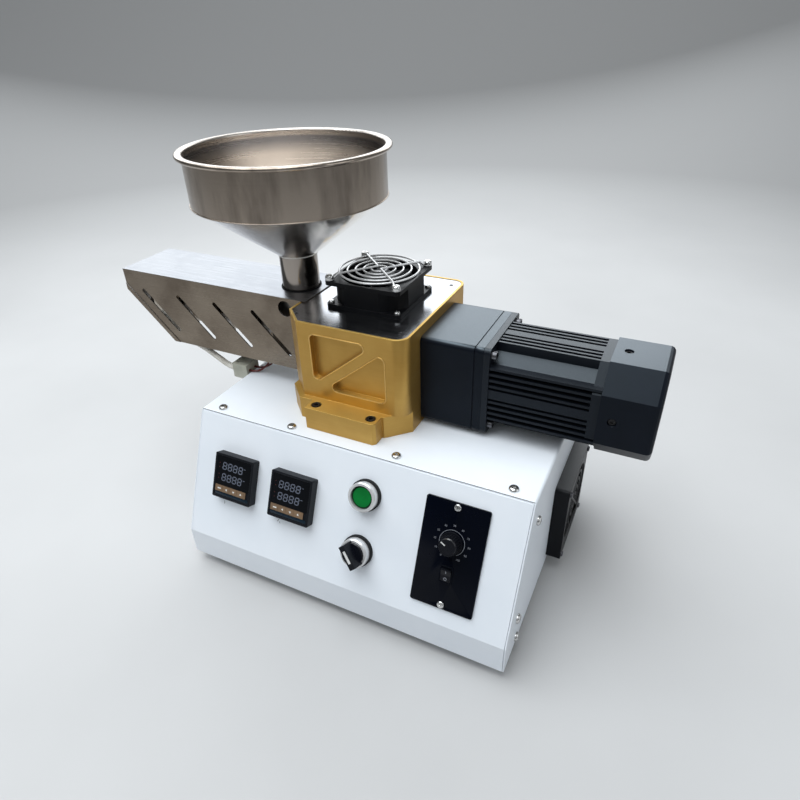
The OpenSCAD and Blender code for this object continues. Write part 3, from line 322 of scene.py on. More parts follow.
def makeFinish(name, look):
    # two tones in soft patches, an optional third as stains (on the hopper's band, painted reflection patches), fine
    # grain moving roughness and height; upward faces may take a lighter tone as painted top light, and more shine;
    # faces turned to a turned shell's axis may take painted inside shade, darker near the rim; tone and roughness may
    # change along an axis or with reach
    finish = bpy.data.materials.new(name)
    finish.use_nodes = True
    tree = finish.node_tree
    shader = tree.nodes["Principled BSDF"]
    shader.inputs["Metallic"].default_value = look.get("metal", 0.0)
    shader.inputs["Specular IOR Level"].default_value = look.get("shine", 0.5)
    shader.inputs["Specular Tint"].default_value = look.get("shineTint", (1.0, 1.0, 1.0, 1.0))
    reader = tree.nodes.new("ShaderNodeTexCoord")
    coords = reader.outputs["Object"]
    facing = tree.nodes.new("ShaderNodeSeparateXYZ")
    tree.links.new(reader.outputs["Normal"], facing.inputs[0])
    place = tree.nodes.new("ShaderNodeSeparateXYZ")
    tree.links.new(coords, place.inputs[0])
    if "upShine" in look:
        lift = remap(tree, facing.outputs["Z"], *spans["upShine"], look.get("shine", 0.5), look["upShine"])
        tree.links.new(lift, shader.inputs["Specular IOR Level"])
    lines = spunVector(tree, coords, look["spun"]) if "spun" in look else coords
    patches = readNoise(tree, coords, look.get("patch", 18.0), look.get("patchStretch", (1, 1, 1)),
                        noiseDetail["patch"])
    colour = mixTone(tree, remap(tree, patches, *spans["patch"], 0.0, 1.0), look["tone"], look["second"])
    fine = readNoise(tree, lines, look["grain"], look.get("stretch", (1, 1, 1)), noiseDetail["grain"])
    rough = remap(tree, fine, *spans["grain"], look["rough"] - look["vary"], look["rough"] + look["vary"])
    for f in look.get("fades", []):
        along = tree.nodes.new("ShaderNodeVectorMath")
        along.operation = "DOT_PRODUCT" if "axis" in f else "LENGTH"
        along.inputs[1].default_value = f.get("axis", (0.0, 0.0, 0.0))
        tree.links.new(coords, along.inputs[0])
        share = remap(tree, along.outputs["Value"], f["start"], f["end"], 0.0, 1.0)
        if "tone" in f:
            colour = mixTone(tree, reckon(tree, "MULTIPLY", share, f.get("share", 1.0)), colour, f["tone"])
        rough = reckon(tree, "ADD", rough, reckon(tree, "MULTIPLY", share, f.get("dull", 0.0)))
    # darker mottled patches: stains on the cover, painted reflection patches on the hopper's band
    if "stainsAndReflections" in look:
        s = look["stainsAndReflections"]
        cloud = readNoise(tree, coords, s["scale"], s.get("stretch", (1, 1, 1)), noiseDetail["stainsAndReflections"], 0.6)
        marks = remap(tree, cloud, s["low"], s["high"], 0.0, s["share"])
        if "above" in s:
            height = remap(tree, place.outputs["Z"], *s["above"], s["under"], 1.0)
            marks = reckon(tree, "MULTIPLY", marks, height)
        colour = mixTone(tree, marks, colour, s["tone"])
        rough = reckon(tree, "ADD", rough, reckon(tree, "MULTIPLY", marks, s["dull"]))
    # upward faces take a lighter tone: painted top light
    if "paintedTopLight" in look:
        share = remap(tree, facing.outputs["Z"], *spans["paintedTopLight"], 0.0, look["paintedTopShare"])
        colour = mixTone(tree, share, colour, look["paintedTopLight"])
    # faces turned to the hopper's axis take painted inside shade, darker and bluish near the rim
    if "paintedInsideShade" in look:
        n = look["paintedInsideShade"]
        inward = insideShare(tree, coords, reader.outputs["Normal"], n["axis"])
        rimShadeMask = reckon(tree, "MULTIPLY", remap(tree, place.outputs["Z"], *n["rim"][:2], 0.0, n["rimShadeShare"]),
                         remap(tree, place.outputs["Z"], *n["rim"][2:], 1.0, 0.0))
        colour = mixTone(tree, inward, colour, mixTone(tree, rimShadeMask, n["tone"], n["rimShadeTone"]))
        rough = reckon(tree, "ADD", rough, reckon(tree, "MULTIPLY", inward, n["dull"]))
    height = fine
    if "wave" in look:
        slow = readNoise(tree, coords, look["wave"], (1, 1, 1), noiseDetail["wave"])
        height = reckon(tree, "ADD", fine, reckon(tree, "MULTIPLY", slow, look["waveGain"]))
    bump = tree.nodes.new("ShaderNodeBump")
    bump.inputs["Strength"].default_value = look.get("strength", 0.5)
    bump.inputs["Distance"].default_value = look["depth"] * mm
    tree.links.new(height, bump.inputs["Height"])
    tree.links.new(bump.outputs["Normal"], shader.inputs["Normal"])
    tree.links.new(colour, shader.inputs["Base Color"])
    tree.links.new(rough, shader.inputs["Roughness"])
    return finish


hopperAxis = (-114.5, 27.875)
# one look for each material slot of the record
looks = dict(
    console_paint=dict(tone=tone(236, 241, 247), second=tone(230, 236, 243), patch=9.0, rough=0.36, vary=0.06,
                       grain=900.0, depth=0.05, strength=0.35, wave=160.0, waveGain=1.4, shine=0.45),
    rubber=dict(tone=tone(18, 18, 20), second=tone(25, 25, 27), rough=0.72, vary=0.1, grain=1400.0, depth=0.06,
                shine=0.25),
    controller_case=dict(tone=tone(10, 13, 19), second=tone(14, 17, 25), rough=0.4, vary=0.08, grain=2600.0,
                         depth=0.03, shine=0.2),
    display_window=dict(tone=tone(6, 8, 12), second=tone(9, 11, 16), rough=0.14, vary=0.03, grain=500.0,
                        depth=0.006, shine=0.18),
    key_strip=dict(tone=tone(130, 105, 80), second=tone(114, 93, 72), rough=0.42, vary=0.08, grain=1800.0,
                   depth=0.03, shine=0.4),
    plated=dict(tone=tone(228, 228, 228), second=tone(212, 212, 213), metal=0.5, rough=0.24, vary=0.03,
                grain=300.0, depth=0.001, strength=0.1, patch=60.0, shine=0.6),
    button_green=dict(tone=tone(0, 118, 48), second=tone(0, 104, 42), rough=0.34, vary=0.06, grain=1500.0,
                      depth=0.02, patch=90.0, shine=0.2),
    knob_black=dict(tone=tone(7, 9, 16), second=tone(11, 13, 21), rough=0.3, vary=0.08, grain=2400.0,
                    depth=0.03, shine=0.25, upShine=1.2),
    speed_plate=dict(tone=tone(2, 5, 14), second=tone(4, 7, 18), rough=0.14, vary=0.04, grain=1600.0,
                     depth=0.006, shine=0.1),
    gold_anodised=dict(tone=tone(194, 156, 83), second=tone(178, 139, 69), metal=0.78, rough=0.42, vary=0.08,
                       grain=420.0, stretch=(0.05, 0.05, 2.2), depth=0.012, patch=14.0,
                       # lighter yellow gold on upward faces: painted top light
                       paintedTopLight=tone(224, 188, 104), paintedTopShare=0.75),
    polished_plate=dict(tone=tone(176, 178, 182), second=tone(158, 160, 165), metal=1.0, rough=0.2, vary=0.05,
                        grain=420.0, stretch=(0.06, 1.6, 1.0), depth=0.002, patch=26.0),
    hopper_steel=dict(tone=tone(232, 229, 224), second=tone(208, 203, 196), metal=1.0, rough=0.15, vary=0.04,
                      grain=300.0, depth=0.002, patch=9.0, patchStretch=(1.0, 1.0, 0.35), spun=hopperAxis,
                      strength=0.3,
                      # painted shade inside the hopper, darker and bluish just under the rim
                      paintedInsideShade=dict(axis=hopperAxis, tone=tone(191, 183, 175), dull=0.065,
                                  rim=(0.392, 0.405, 0.4085, 0.4105), rimShadeTone=tone(118, 120, 126), rimShadeShare=0.8),
                      fades=[dict(axis=(0, 0, 1), start=0.367, end=0.3695, dull=0.07,
                                  tone=tone(148, 132, 116), share=0.8),
                             dict(axis=(0, 0, 1), start=0.3125, end=0.311, dull=0.02,
                                  tone=tone(132, 120, 110), share=0.8)],
                      # darker mottled patches, full on the band and a quarter as strong below it: painted reflection
                      # patches
                      stainsAndReflections=dict(tone=tone(84, 75, 68), scale=13.0, stretch=(1.5, 1.5, 0.3), share=0.68,
                                 dull=0.04, low=0.46, high=0.62, above=(0.366, 0.37), under=0.25)),
    cover_steel=dict(tone=tone(134, 123, 110), second=tone(116, 105, 93), metal=1.0, rough=0.3, vary=0.06,
                     grain=520.0, stretch=(0.03, 1.6, 1.6), depth=0.006, patch=16.0,
                     # lighter bluish tone on upward faces: painted reflection
                     paintedTopLight=tone(140, 144, 151), paintedTopShare=0.85,
                     stainsAndReflections=dict(tone=tone(84, 73, 62), scale=26.0, share=0.5, dull=0.08, low=0.5, high=0.72)),
    tool_steel=dict(tone=tone(150, 146, 142), second=tone(118, 112, 106), metal=1.0, rough=0.36, vary=0.1,
                    grain=600.0, stretch=(1.4, 0.2, 0.2), depth=0.02, patch=30.0),
    heater_steel=dict(tone=tone(176, 168, 156), second=tone(140, 126, 110), metal=1.0, rough=0.4, vary=0.1,
                      grain=520.0, depth=0.02, patch=28.0),
    nozzle_brass=dict(tone=tone(196, 158, 84), second=tone(160, 120, 62), metal=1.0, rough=0.3, vary=0.08,
                      grain=700.0, stretch=(1.4, 0.2, 0.2), depth=0.014, patch=60.0),
    fan_black=dict(tone=tone(7, 8, 11), second=tone(11, 12, 15), rough=0.4, vary=0.08, grain=1500.0, depth=0.03,
                   shine=0.14, upShine=0.3),
    ceramic=dict(tone=tone(180, 180, 166), second=tone(160, 160, 146), rough=0.5, vary=0.1, grain=900.0,
                 depth=0.06, patch=70.0),
    lead_sleeve=dict(tone=tone(232, 229, 220), second=tone(210, 205, 194), rough=0.75, vary=0.08, grain=1600.0,
                     depth=0.06, patch=80.0),
    motor_paint=dict(tone=tone(10, 13, 20), second=tone(14, 17, 26), rough=0.38, vary=0.07, grain=1300.0,
                     depth=0.04, shine=0.14, upShine=1.5, shineTint=(0.74, 0.89, 1.0, 1.0), wave=260.0,
                     waveGain=0.8),
    motor_fins=dict(tone=tone(11, 14, 21), second=tone(16, 19, 27), rough=0.4, vary=0.08, grain=1200.0,
                    depth=0.04, shine=0.22, upShine=0.75, shineTint=(0.8, 0.92, 1.0, 1.0)),
    side_box_black=dict(tone=tone(11, 12, 16), second=tone(16, 17, 21), rough=0.44, vary=0.08, grain=1600.0,
                        depth=0.04, shine=0.16, upShine=0.9),
)
# looks of the scene's own screws, prints, wires and edges, with a painted highlight for the pocket edges and painted
# shade for the button cap's rim
ownLooks = dict(
    screwBright=dict(tone=tone(220, 220, 219), second=tone(196, 196, 195), metal=1.0, rough=0.22, vary=0.08,
                     grain=900.0, depth=0.012, patch=90.0),
    screwBlack=dict(tone=tone(34, 34, 36), second=tone(44, 43, 43), metal=0.6, rough=0.36, vary=0.1,
                    grain=1200.0, depth=0.02, patch=90.0),
    screwDark=dict(tone=tone(104, 104, 108), second=tone(84, 84, 88), metal=1.0, rough=0.34, vary=0.1,
                   grain=900.0, depth=0.015, patch=90.0),
    printWhite=dict(tone=tone(226, 226, 224), second=tone(214, 214, 212), rough=0.5, vary=0.06, grain=1800.0,
                    depth=0.01),
    printGrey=dict(tone=tone(132, 135, 142), second=tone(118, 121, 128), rough=0.5, vary=0.06, grain=1800.0,
                   depth=0.01),
    digitGrey=dict(tone=tone(100, 106, 120), second=tone(88, 94, 108), rough=0.3, vary=0.05, grain=1500.0,
                   depth=0.005),
    # lighter gold of the pocket edges: painted highlight
    goldEdgeHighlight=dict(tone=tone(224, 188, 114), second=tone(208, 170, 98), metal=0.75, rough=0.34, vary=0.08,
                  grain=600.0, depth=0.01, patch=40.0),
    # darker green on the cap's rim: painted shade
    shadeGreen=dict(tone=tone(0, 44, 20), second=tone(0, 36, 16), rough=0.4, vary=0.06, grain=1500.0, depth=0.02,
                   shine=0.15),
    # dark teal: the strip's dark face with a painted blue sheen
    stripTealSheen=dict(tone=tone(16, 34, 46), second=tone(12, 28, 40), rough=0.26, vary=0.05, grain=1500.0,
                   depth=0.005, shine=0.3),
    lampRed=dict(tone=tone(78, 26, 24), second=tone(66, 22, 20), rough=0.3, vary=0.05, grain=1500.0,
                 depth=0.005),
    wireRed=dict(tone=tone(104, 26, 22), second=tone(86, 20, 18), rough=0.42, vary=0.06, grain=1500.0,
                 depth=0.02),
    seamDark=dict(tone=tone(64, 66, 70), second=tone(86, 88, 92), rough=0.7, vary=0.1, grain=900.0, depth=0.01,
                  patch=40.0),
)
finishes = {name: makeFinish(name, look) for name, look in {**looks, **ownLooks}.items()}
for part in frame["record"]["subparts"]:
    for place in nodes[part["node"]].material_slots:
        place.material = finishes[part["material_slot"]]

# edges broken by hand on the real one, or rounded where sheet is folded: width in mm for each node
brokenEdges = dict(drive_block=1.0, gearhead=0.6, speed_controller=0.25, controller_left_case=0.3,
                   controller_right_case=0.3, terminal_block=0.4, fan_frame=0.25, block_top_plate=0.2,
                   side_fan_box=0.4, barrel_cover=0.35, motor_end_cover=2.2, console_cover=0.5)
edgeAngle, slightAngle = 38.0, dict(motor_end_cover=12.0)                    # edges sharper than this, in degrees
unclamped = ["console_cover"]                                                # not narrowed by its vents' arcs


def breakEdges(node, width):
    # triangles welded and joined to flat faces, then a narrow rounded bevel on the sharp edges
    obj = nodes[node]
    weld = obj.modifiers.new("weld", "WELD")
    weld.merge_threshold = 2e-6
    flat = obj.modifiers.new("flat", "DECIMATE")
    flat.decimate_type, flat.angle_limit = "DISSOLVE", math.radians(0.4)
    bevel = obj.modifiers.new("edge", "BEVEL")
    bevel.width, bevel.segments, bevel.limit_method = width * mm, 2, "ANGLE"
    bevel.angle_limit = math.radians(slightAngle.get(node, edgeAngle))
    bevel.harden_normals, bevel.use_clamp_overlap = True, node not in unclamped


for node, width in brokenEdges.items():
    breakEdges(node, width)
print("edges broken on", len(brokenEdges), "nodes")

# braided sleeve from the first heater band to the terminal block, route in mm from the block
sleeve = dict(route=[(-199.4, -2.125, 172.0), (-208.4, -2.125, 172.6), (-224.0, -2.125, 179.6),
                     (-240.0, -2.125, 188.0), (-261.7, -2.125, 196.4), (-277.0, -2.125, 203.5),
                     (-287.6, -2.125, 212.5), (-293.0, -2.125, 222.0), (-294.0, -2.125, 231.9)],
              diameter=7.0, strands=10, twist=0.72, weave=0.05)


def makeSleeve(s):
    # radius swells where strands of the two braids cross: product of two sines wound opposite ways
    path = smoothRoute(s["route"], 220)
    length = np.linalg.norm(np.diff(path, axis=0), axis=1).sum()
    a = fullTurn(60)[None]
    run = np.linspace(0, length, len(path))[:, None]
    ripple = np.sin(s["strands"] * a + s["twist"] * run * 2) * np.sin(s["strands"] * a - s["twist"] * run * 2)
    shape = tubeAlong(path, s["diameter"] / 2 * (1 - s["weave"] * 0.5 + s["weave"] * 0.5 * ripple), 60)
    piece = putPiece("heaterSleeve", shape, "lead_sleeve", angle=80)
    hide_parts("heater_lead")
    print("heater sleeve", round(length, 1), "mm long")


makeSleeve(sleeve)

# heads of screws and bolts in mm: diameter, height, width of a hexagon socket, and depth of socket or cross
heads = dict(deck=(9.5, 3.0, 3.0, 1.9), block=(8.5, 5.0, 4.0, 2.6), plate=(3.9, 1.0, 1.5, 0.7),
             motor=(8.0, 5.0, 4.0, 2.4), clamp=(6.5, 4.0, 3.0, 2.0), plug=(6.4, 2.4, 3.4, 1.6),
             fan=(8.2, 3.4, 1.8), fanFoot=(6.0, 2.4, 1.4), terminal=(4.2, 1.0, 0.7),
             box=(6.2, 2.0, 1.2), inlet=(6.0, 1.9, 1.2), speed=(6.8, 2.0, 1.2))
headSink = 0.3                                                               # how far a head goes below the face


def buttonHead(d, h, socket, deep):
    # low dome: quarter ellipse from the rim to the flat round the hexagon socket
    t = np.linspace(0, 1, 8) * np.pi / 2
    flat = socket * 0.78
    dome = np.stack([flat + (d / 2 - flat) * np.cos(t), 0.18 * h + 0.82 * h * np.sin(t)], -1)
    rings = [(0, -headSink), (d / 2, -headSink), (d / 2, 0)] + dome.tolist()
    rings += [(socket / 2 * 1.155, h - 0.05), (socket / 2 * 1.1, h - deep), (0, h - deep)]
    return turned(rings, "o" * (len(rings) - 3) + "hho", 48)


def capHead(d, h, socket, deep):
    # cylinder head with a small edge round and a hexagon socket
    rings = [(0, -headSink), (d / 2, -headSink), (d / 2, h - 0.5), (d / 2 - 0.15, h - 0.15), (d / 2 - 0.5, h),
             (socket * 0.68, h), (socket / 2 * 1.155, h - 0.25), (socket / 2 * 1.12, h - deep), (0, h - deep - 0.4)]
    return turned(rings, "oooooohho", 48)


def panHead(d, h, deep):
    # rounded pan with a cross recess
    t = np.linspace(0, 1, 7) * np.pi / 2
    dome = np.stack([d * 0.3 + d * 0.2 * np.cos(t), h * 0.35 + h * 0.65 * np.sin(t)], -1)
    rings = [(0, -headSink), (d / 2, -headSink)] + dome.tolist()
    rings += [(d * 0.27, h), (d * 0.24, h - deep * 0.3), (d * 0.08, h - deep), (0, h - deep)]
    return turned(rings, "o" * (len(rings) - 4) + "xxxo", 64)


# where they sit, in mm, and how far each is turned, in degrees
screwPlaces = dict(
    deck=[(x, -76.45, 171.0) for x in (-158.0, -71.2, 45.5, 157.8)],
    side=[(-69.5, 138.0), (-108.3, 50.0), (-106.0, 21.0)],
    block=[(x, y, 190.5) for x in (-48.9, 11.9) for y in (-61.6, 117.4)],
    plate=[(x, y, 274.6) for x, y in corners((-24.3, 27.875), (56.2, 61.0))],
    fan=[(x, y, 304.4) for x, y in corners((-21.0, 30.375), (35.75, 35.75))],
    fanFoot=[(x, y, 279.5) for x, y in corners((-21.0, 30.375), (35.75, 35.75))],
    motor=[(110.6, y, z) for y, z in corners((27.875, 221.0), (37.0, 37.0))],
    terminal=[(-195.0, y, 178.6) for y in (-2.125, 7.875)],
    clamp=[(x, 22.4, 203.85) for x in (-294.0, -237.33, -180.67)],
    box=[(195.0, y, z) for y, z in corners((51.3, 67.0), (41.5, 41.5))],
    inlet=[(x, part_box("power_inlet")[1].y / mm, 58.0) for x in (98.0, 138.0)],
    plug=dict(middle=(221.2, lay["axisY"], lay["motorZ"]), out=42.4),
)
screwTurns = dict(large=np.array([8.0, 31.0, 52.0, 17.0]), small=np.array([12.0, 40.0, 71.0, 25.0]), plug=10.0)


def makeScrews(p):
    # each head copied to its spots and turned by its own angle
    turn = screwTurns["large"]
    deck = buttonHead(*heads["deck"])
    putPiece("deckScrews", copies(deck, p["deck"], upright, turn), "screwBright")
    right = copies(deck, [(lay["right"], y, z) for y, z in p["side"]], rightSide, turn[:3])
    left = copies(deck, [(lay["left"], y, z) for y, z in p["side"]], leftSide, turn[1:])
    putPiece("sideScrews", joined(right, left), "screwBright")
    putPiece("blockBolts", copies(capHead(*heads["block"]), p["block"], upright, turn), "screwBlack")
    putPiece("plateScrews", copies(buttonHead(*heads["plate"]), p["plate"], upright, turn), "screwBlack")
    fan = [copies(panHead(*heads[k]), p[k], upright, turn) for k in ("fan", "fanFoot")]
    putPiece("fanScrews", joined(*fan), "screwBright")
    putPiece("motorBolts", copies(capHead(*heads["motor"]), p["motor"], rightSide, turn), "screwDark")


def makeSmallScrews(p):
    # as above, with the end cover's plugs on its front, rear and top
    turn = screwTurns["small"]
    putPiece("terminalScrews", copies(panHead(*heads["terminal"]), p["terminal"], upright, turn[:2]), "screwBright")
    putPiece("clampBolts", copies(capHead(*heads["clamp"]), p["clamp"], frontSide, turn[:3]), "screwDark")
    box = copies(panHead(*heads["box"]), p["box"], rightSide, turn)
    inlet = copies(panHead(*heads["inlet"]), p["inlet"], rearSide, turn[:2])
    putPiece("boxScrews", joined(box, inlet), "screwDark")
    plugs = []
    for axes in (frontSide, rearSide, upright):
        spot = p["plug"]["middle"] + axes[:, 2] * p["plug"]["out"]
        plugs.append(copies(capHead(*heads["plug"]), spot, axes, screwTurns["plug"]))
    putPiece("coverPlugs", joined(*plugs), "screwBlack")


makeScrews(screwPlaces)
makeSmallScrews(screwPlaces)
print("screws set")


def wordsFlat(text, size):
    # built-in letters as a flat mesh about their own middle, in mm
    curve = bpy.data.curves.new("words", "FONT")
    curve.body, curve.size, curve.align_x, curve.align_y = text, size, "CENTER", "CENTER"
    holder = bpy.data.objects.new("words", curve)
    scene.collection.objects.link(holder)
    bpy.context.view_layer.update()
    mesh = bpy.data.meshes.new_from_object(holder.evaluated_get(bpy.context.evaluated_depsgraph_get()))
    work = bmesh.new()
    work.from_mesh(mesh)
    bmesh.ops.triangulate(work, faces=work.faces)
    work.to_mesh(mesh)
    work.free()
    verts = np.empty(len(mesh.vertices) * 3)
    mesh.vertices.foreach_get("co", verts)
    tris = np.empty(len(mesh.polygons) * 3, int)
    mesh.polygons.foreach_get("vertices", tris)
    bpy.data.objects.remove(holder)
    bpy.data.curves.remove(curve)
    bpy.data.meshes.remove(mesh)
    tris = tris.reshape(-1, 3)
    return verts.reshape(-1, 3), np.concatenate([tris, tris[:, 2:]], 1)


# scale round the speed knob: place on the panel, arc, and numbers on a circle, in mm and degrees
dial = dict(u=295.0, v=57.0, ring=(11.7, 12.15), reach=16.3, count=11, sweep=150.0, size=2.6, face=2.06)


def makeDial(d):
    # scale arc about the knob, and a number every thirty degrees on a circle
    marks = [flatRing(*d["ring"], 90 - d["sweep"], 90 + d["sweep"], d["face"])]
    for number, deg in enumerate(np.linspace(-d["sweep"], d["sweep"], d["count"])):
        a = math.radians(90 - deg)
        step = (d["reach"] * math.cos(a), d["reach"] * math.sin(a), d["face"])
        marks.append(moved(wordsFlat(str(number * 10), d["size"]), step))
    putPiece("dialPrint", copies(joined(*marks), onPanel(d["u"], d["v"]), panelSide), "printGrey", closed=False)


# painted shade on the push button's cap, a darker green ring where its recess shades the sloping edge: radius of the
# cap, height of its face and width of the edge, in mm
capShadeRing = dict(u=204.8, v=38.4, radius=11.0, face=9.6, slope=0.9, wide=0.7, proud=0.04, lap=0.05, sink=0.1)


def makeCapShadeRing(c):
    # closed ring of painted shade over the cap's sloping edge: up the slope, in along the face, and back under it
    r, z, foot, sink = c["radius"], c["face"], c["face"] - c["slope"], c["sink"]
    crest = r - c["slope"]
    inner = crest - c["wide"]
    rings = [(r + c["proud"], foot), (crest + c["proud"] / 2, z + c["lap"]), (inner, z + c["lap"]), (inner, z - sink),
             (crest - sink, z - sink), (r - sink, foot), (r + c["proud"], foot)]
    putPiece("capShadeRing", copies(turned(rings, steps=72), onPanel(c["u"], c["v"]), panelSide), "shadeGreen", "button")


# screws of the speed controller's plate, in mm on the panel
speedScrews = dict(u=295.0, v=(23.5, 117.5), face=2.0, turns=[20.0, 65.0])


def makeSpeedScrews(s):
    # one head near each end of the plate
    spots = [onPanel(s["u"], v, s["face"]) for v in s["v"]]
    putPiece("speedPlateScrews", copies(panHead(*heads["speed"]), spots, panelSide, s["turns"]), "screwBright")


# bar and ring on the rocker's hollow face, in mm about its middle, and its tip at rest in degrees
rocker = dict(u=295.0, v=88.0, tip=10.0, high=3.6, half=6.2, edge=1.0, dip=0.6, rise=0.9, lift=0.05,
              bar=((-0.35, 2.2), (0.35, 5.0)), ring=(0.95, 1.5), ringAt=-3.4)


def makeRockerMarks(k):
    # height grows with the distance from the middle as the hollow face does, and the tip at rest turns them
    ring = moved(flatRing(*k["ring"], 0, 360, 0.0, 40), (0, k["ringAt"], 0))
    verts, quads = joined(flatStrip(*k["bar"], 0.0), ring)
    verts[:, 2] = k["high"] - k["dip"] + k["rise"] * np.abs(verts[:, 1]) / (k["half"] - k["edge"]) + k["lift"]
    t = math.radians(k["tip"])
    verts[:, 1:] = verts[:, 1:] @ np.array([[math.cos(t), math.sin(t)], [-math.sin(t), math.cos(t)]])
    spot = onPanel(k["u"], k["v"])
    putPiece("rockerMarks", copies((verts, quads), spot, panelSide), "printGrey", "rocker", closed=False)


# white line on each turning knob: corners and height in mm, angle at rest in degrees
knobLines = [dict(name="selectorLine", body="selector", u=204.8, v=95.0, rest=40.0, face=22.7,
                  line=((-1.45, -5.9), (1.45, 6.9))),
             dict(name="speedPointer", body="speed_dial", u=295.0, v=57.0, rest=62.0, face=14.7,
                  line=((-0.62, 2.55), (0.62, 7.2)))]


def makeKnobLine(k):
    # flat bar on the knob's face, turned to the knob's angle at rest
    spot = onPanel(k["u"], k["v"])
    line = copies(flatStrip(*k["line"], k["face"]), spot, panelSide, k["rest"])
    putPiece(k["name"], line, "printWhite", k["body"], closed=False)


makeDial(dial)
makeCapShadeRing(capShadeRing)
makeSpeedScrews(speedScrews)
makeRockerMarks(rocker)
for knobLine in knobLines:
    makeKnobLine(knobLine)
print("panel marks drawn")

# controller faces: unlit digit shapes, small lamps and key marks, in mm about the face's middle
faces = dict(spots=[(56.6, 62.4), (127.1, 62.4)], rows=(11.3, -0.9), digits=4, pitch=6.7, middle=-1.3, wide=5.3,
             tall=8.2, bar=1.05, gap=0.3, slant=0.1, window=9.66, dash=((12.6, 2.2), (14.9, 2.8)),
             lamp=0.5, lampX=-17.9, lampY=(13.6, 9.2, 1.6, -2.8), keys=9.86, keyRow=-13.86,
             keyAt=(-15.75, -6.58, 2.58, 11.75), pill=(1.5, 0.7), arrow=1.5, arrowTurns=(90, 180, 0))


def segmentBar(length, width):
    # six-sided bar, pointed at both ends
    h, w = length / 2, width / 2
    v = np.array([[-h, 0, 0], [-h + w, -w, 0], [h - w, -w, 0], [h, 0, 0], [h - w, w, 0], [-h + w, w, 0]], float)
    return v, np.array([[0, 1, 2, 3], [0, 3, 4, 5]])


def eightShape(f):
    # seven bars of a digit, sheared to lean right
    wide, half = f["wide"] - f["bar"], (f["tall"] - f["bar"]) / 2
    level, stand = segmentBar(wide - f["gap"], f["bar"]), segmentBar(half - f["gap"], f["bar"])
    stand = (stand[0][:, [1, 0, 2]] * (-1, 1, 1), stand[1])
    parts = [moved(level, (0, y, 0)) for y in (-half, 0, half)]
    parts += [moved(stand, (x, y, 0)) for x in (-wide / 2, wide / 2) for y in (-half / 2, half / 2)]
    verts, quads = joined(*parts)
    verts[:, 0] += verts[:, 1] * f["slant"]
    return verts, quads


def arrowShape(side, deg):
    # triangle as a quad with one doubled corner
    a = np.radians(np.array([90, 210, 330, 330]) + deg)
    return np.stack([side * np.cos(a), side * np.sin(a), a * 0], -1), np.array([[0, 1, 2, 3]])


def makeFaces(f):
    # two rows of digits with a dash after each, a column of lamps, and a pill and three arrows on the keys
    eight = eightShape(f)
    xs = f["middle"] + (np.arange(f["digits"]) - (f["digits"] - 1) / 2) * f["pitch"]
    (x0, y0), (x1, y1) = f["dash"]
    digits = joined(*[moved(eight, (x, y, f["window"])) for y in f["rows"] for x in xs],
                    *[flatStrip((x0, y + y0), (x1, y + y1), f["window"]) for y in f["rows"]])
    lamp = flatRing(0.0, f["lamp"], 0, 360, f["window"], 20)
    dots = joined(*[moved(lamp, (f["lampX"], y, 0)) for y in f["lampY"]])
    w, h = f["pill"]
    ends = [moved(flatRing(0, h, start, start + 180, 0, 20), (x, 0, 0)) for x, start in ((-w, 90), (w, -90))]
    shapes = [joined(flatStrip((-w, -h), (w, h), 0), *ends)]
    shapes += [arrowShape(f["arrow"], deg) for deg in f["arrowTurns"]]
    keys = joined(*[moved(s, (x, f["keyRow"], f["keys"])) for s, x in zip(shapes, f["keyAt"])])
    spots = [onPanel(u, v) for u, v in f["spots"]]
    for name, shape, finish in (("displayDigits", digits, "digitGrey"), ("displayLamps", dots, "lampRed"),
                                ("keyMarks", keys, "printWhite")):
        putPiece(name, copies(shape, spots, panelSide), finish, closed=False)


makeFaces(faces)

# plain strip let into the foot of each controller's face, in mm about the face's middle; its dark tone carries a
# painted blue sheen
footStrip = dict(low=(-21.2, -21.2), high=(21.2, -17.8), base=8.6, top=9.62, edge=0.45, corner=0.8, steps=7)


def makeFootStrips(f):
    # rounded rectangle carried up its wall and over a soft edge to the middle: insets and heights of five rings
    low, high = np.array(f["low"]), np.array(f["high"])
    middle, half = (low + high) / 2, (high - low) / 2
    steps = f["steps"]
    a = np.radians(np.linspace(0, 90, steps)[None] + np.arange(4)[:, None] * 90).ravel()
    sign = np.repeat(np.array([[1, 1], [-1, 1], [-1, -1], [1, -1]]), steps, 0)
    inset = np.array([0, 0, 0.3, 1.0])[:, None, None] * f["edge"]
    arc = np.stack([np.cos(a), np.sin(a)], -1) * (f["corner"] - 0.7 * inset)
    flat = sign * (half - f["corner"] - 0.3 * inset) + arc
    flat = np.concatenate([flat, flat[-1:] * 0]) + middle
    z = np.array([f["base"], f["top"] - f["edge"], f["top"] - 0.3 * f["edge"], f["top"], f["top"]])[:, None]
    verts = np.concatenate([flat, np.broadcast_to(z, flat.shape[:2])[..., None]], -1)
    shape = (verts.reshape(-1, 3), gridQuads(len(verts), 4 * steps, wrapCols=True))
    spots = [onPanel(u, v) for u, v in faces["spots"]]
    putPiece("footStrips", copies(shape, spots, panelSide), "stripTealSheen", closed=False)


makeFootStrips(footStrip)
print("controller faces drawn")


def roundHopper(reach, z, a):
    # section carried round the hopper's axis: a reach and a height for each angle and each point of the section
    z = z + 0 * reach + 0 * a
    verts = np.stack([hopperAxis[0] + reach * np.cos(a), hopperAxis[1] + reach * np.sin(a), z], -1)
    return verts.reshape(-1, 3), gridQuads(*z.shape, True, True)


# slim gasket where the hopper neck meets the cover, in mm
gasket = dict(wide=1.3, high=1.1, square=0.6)


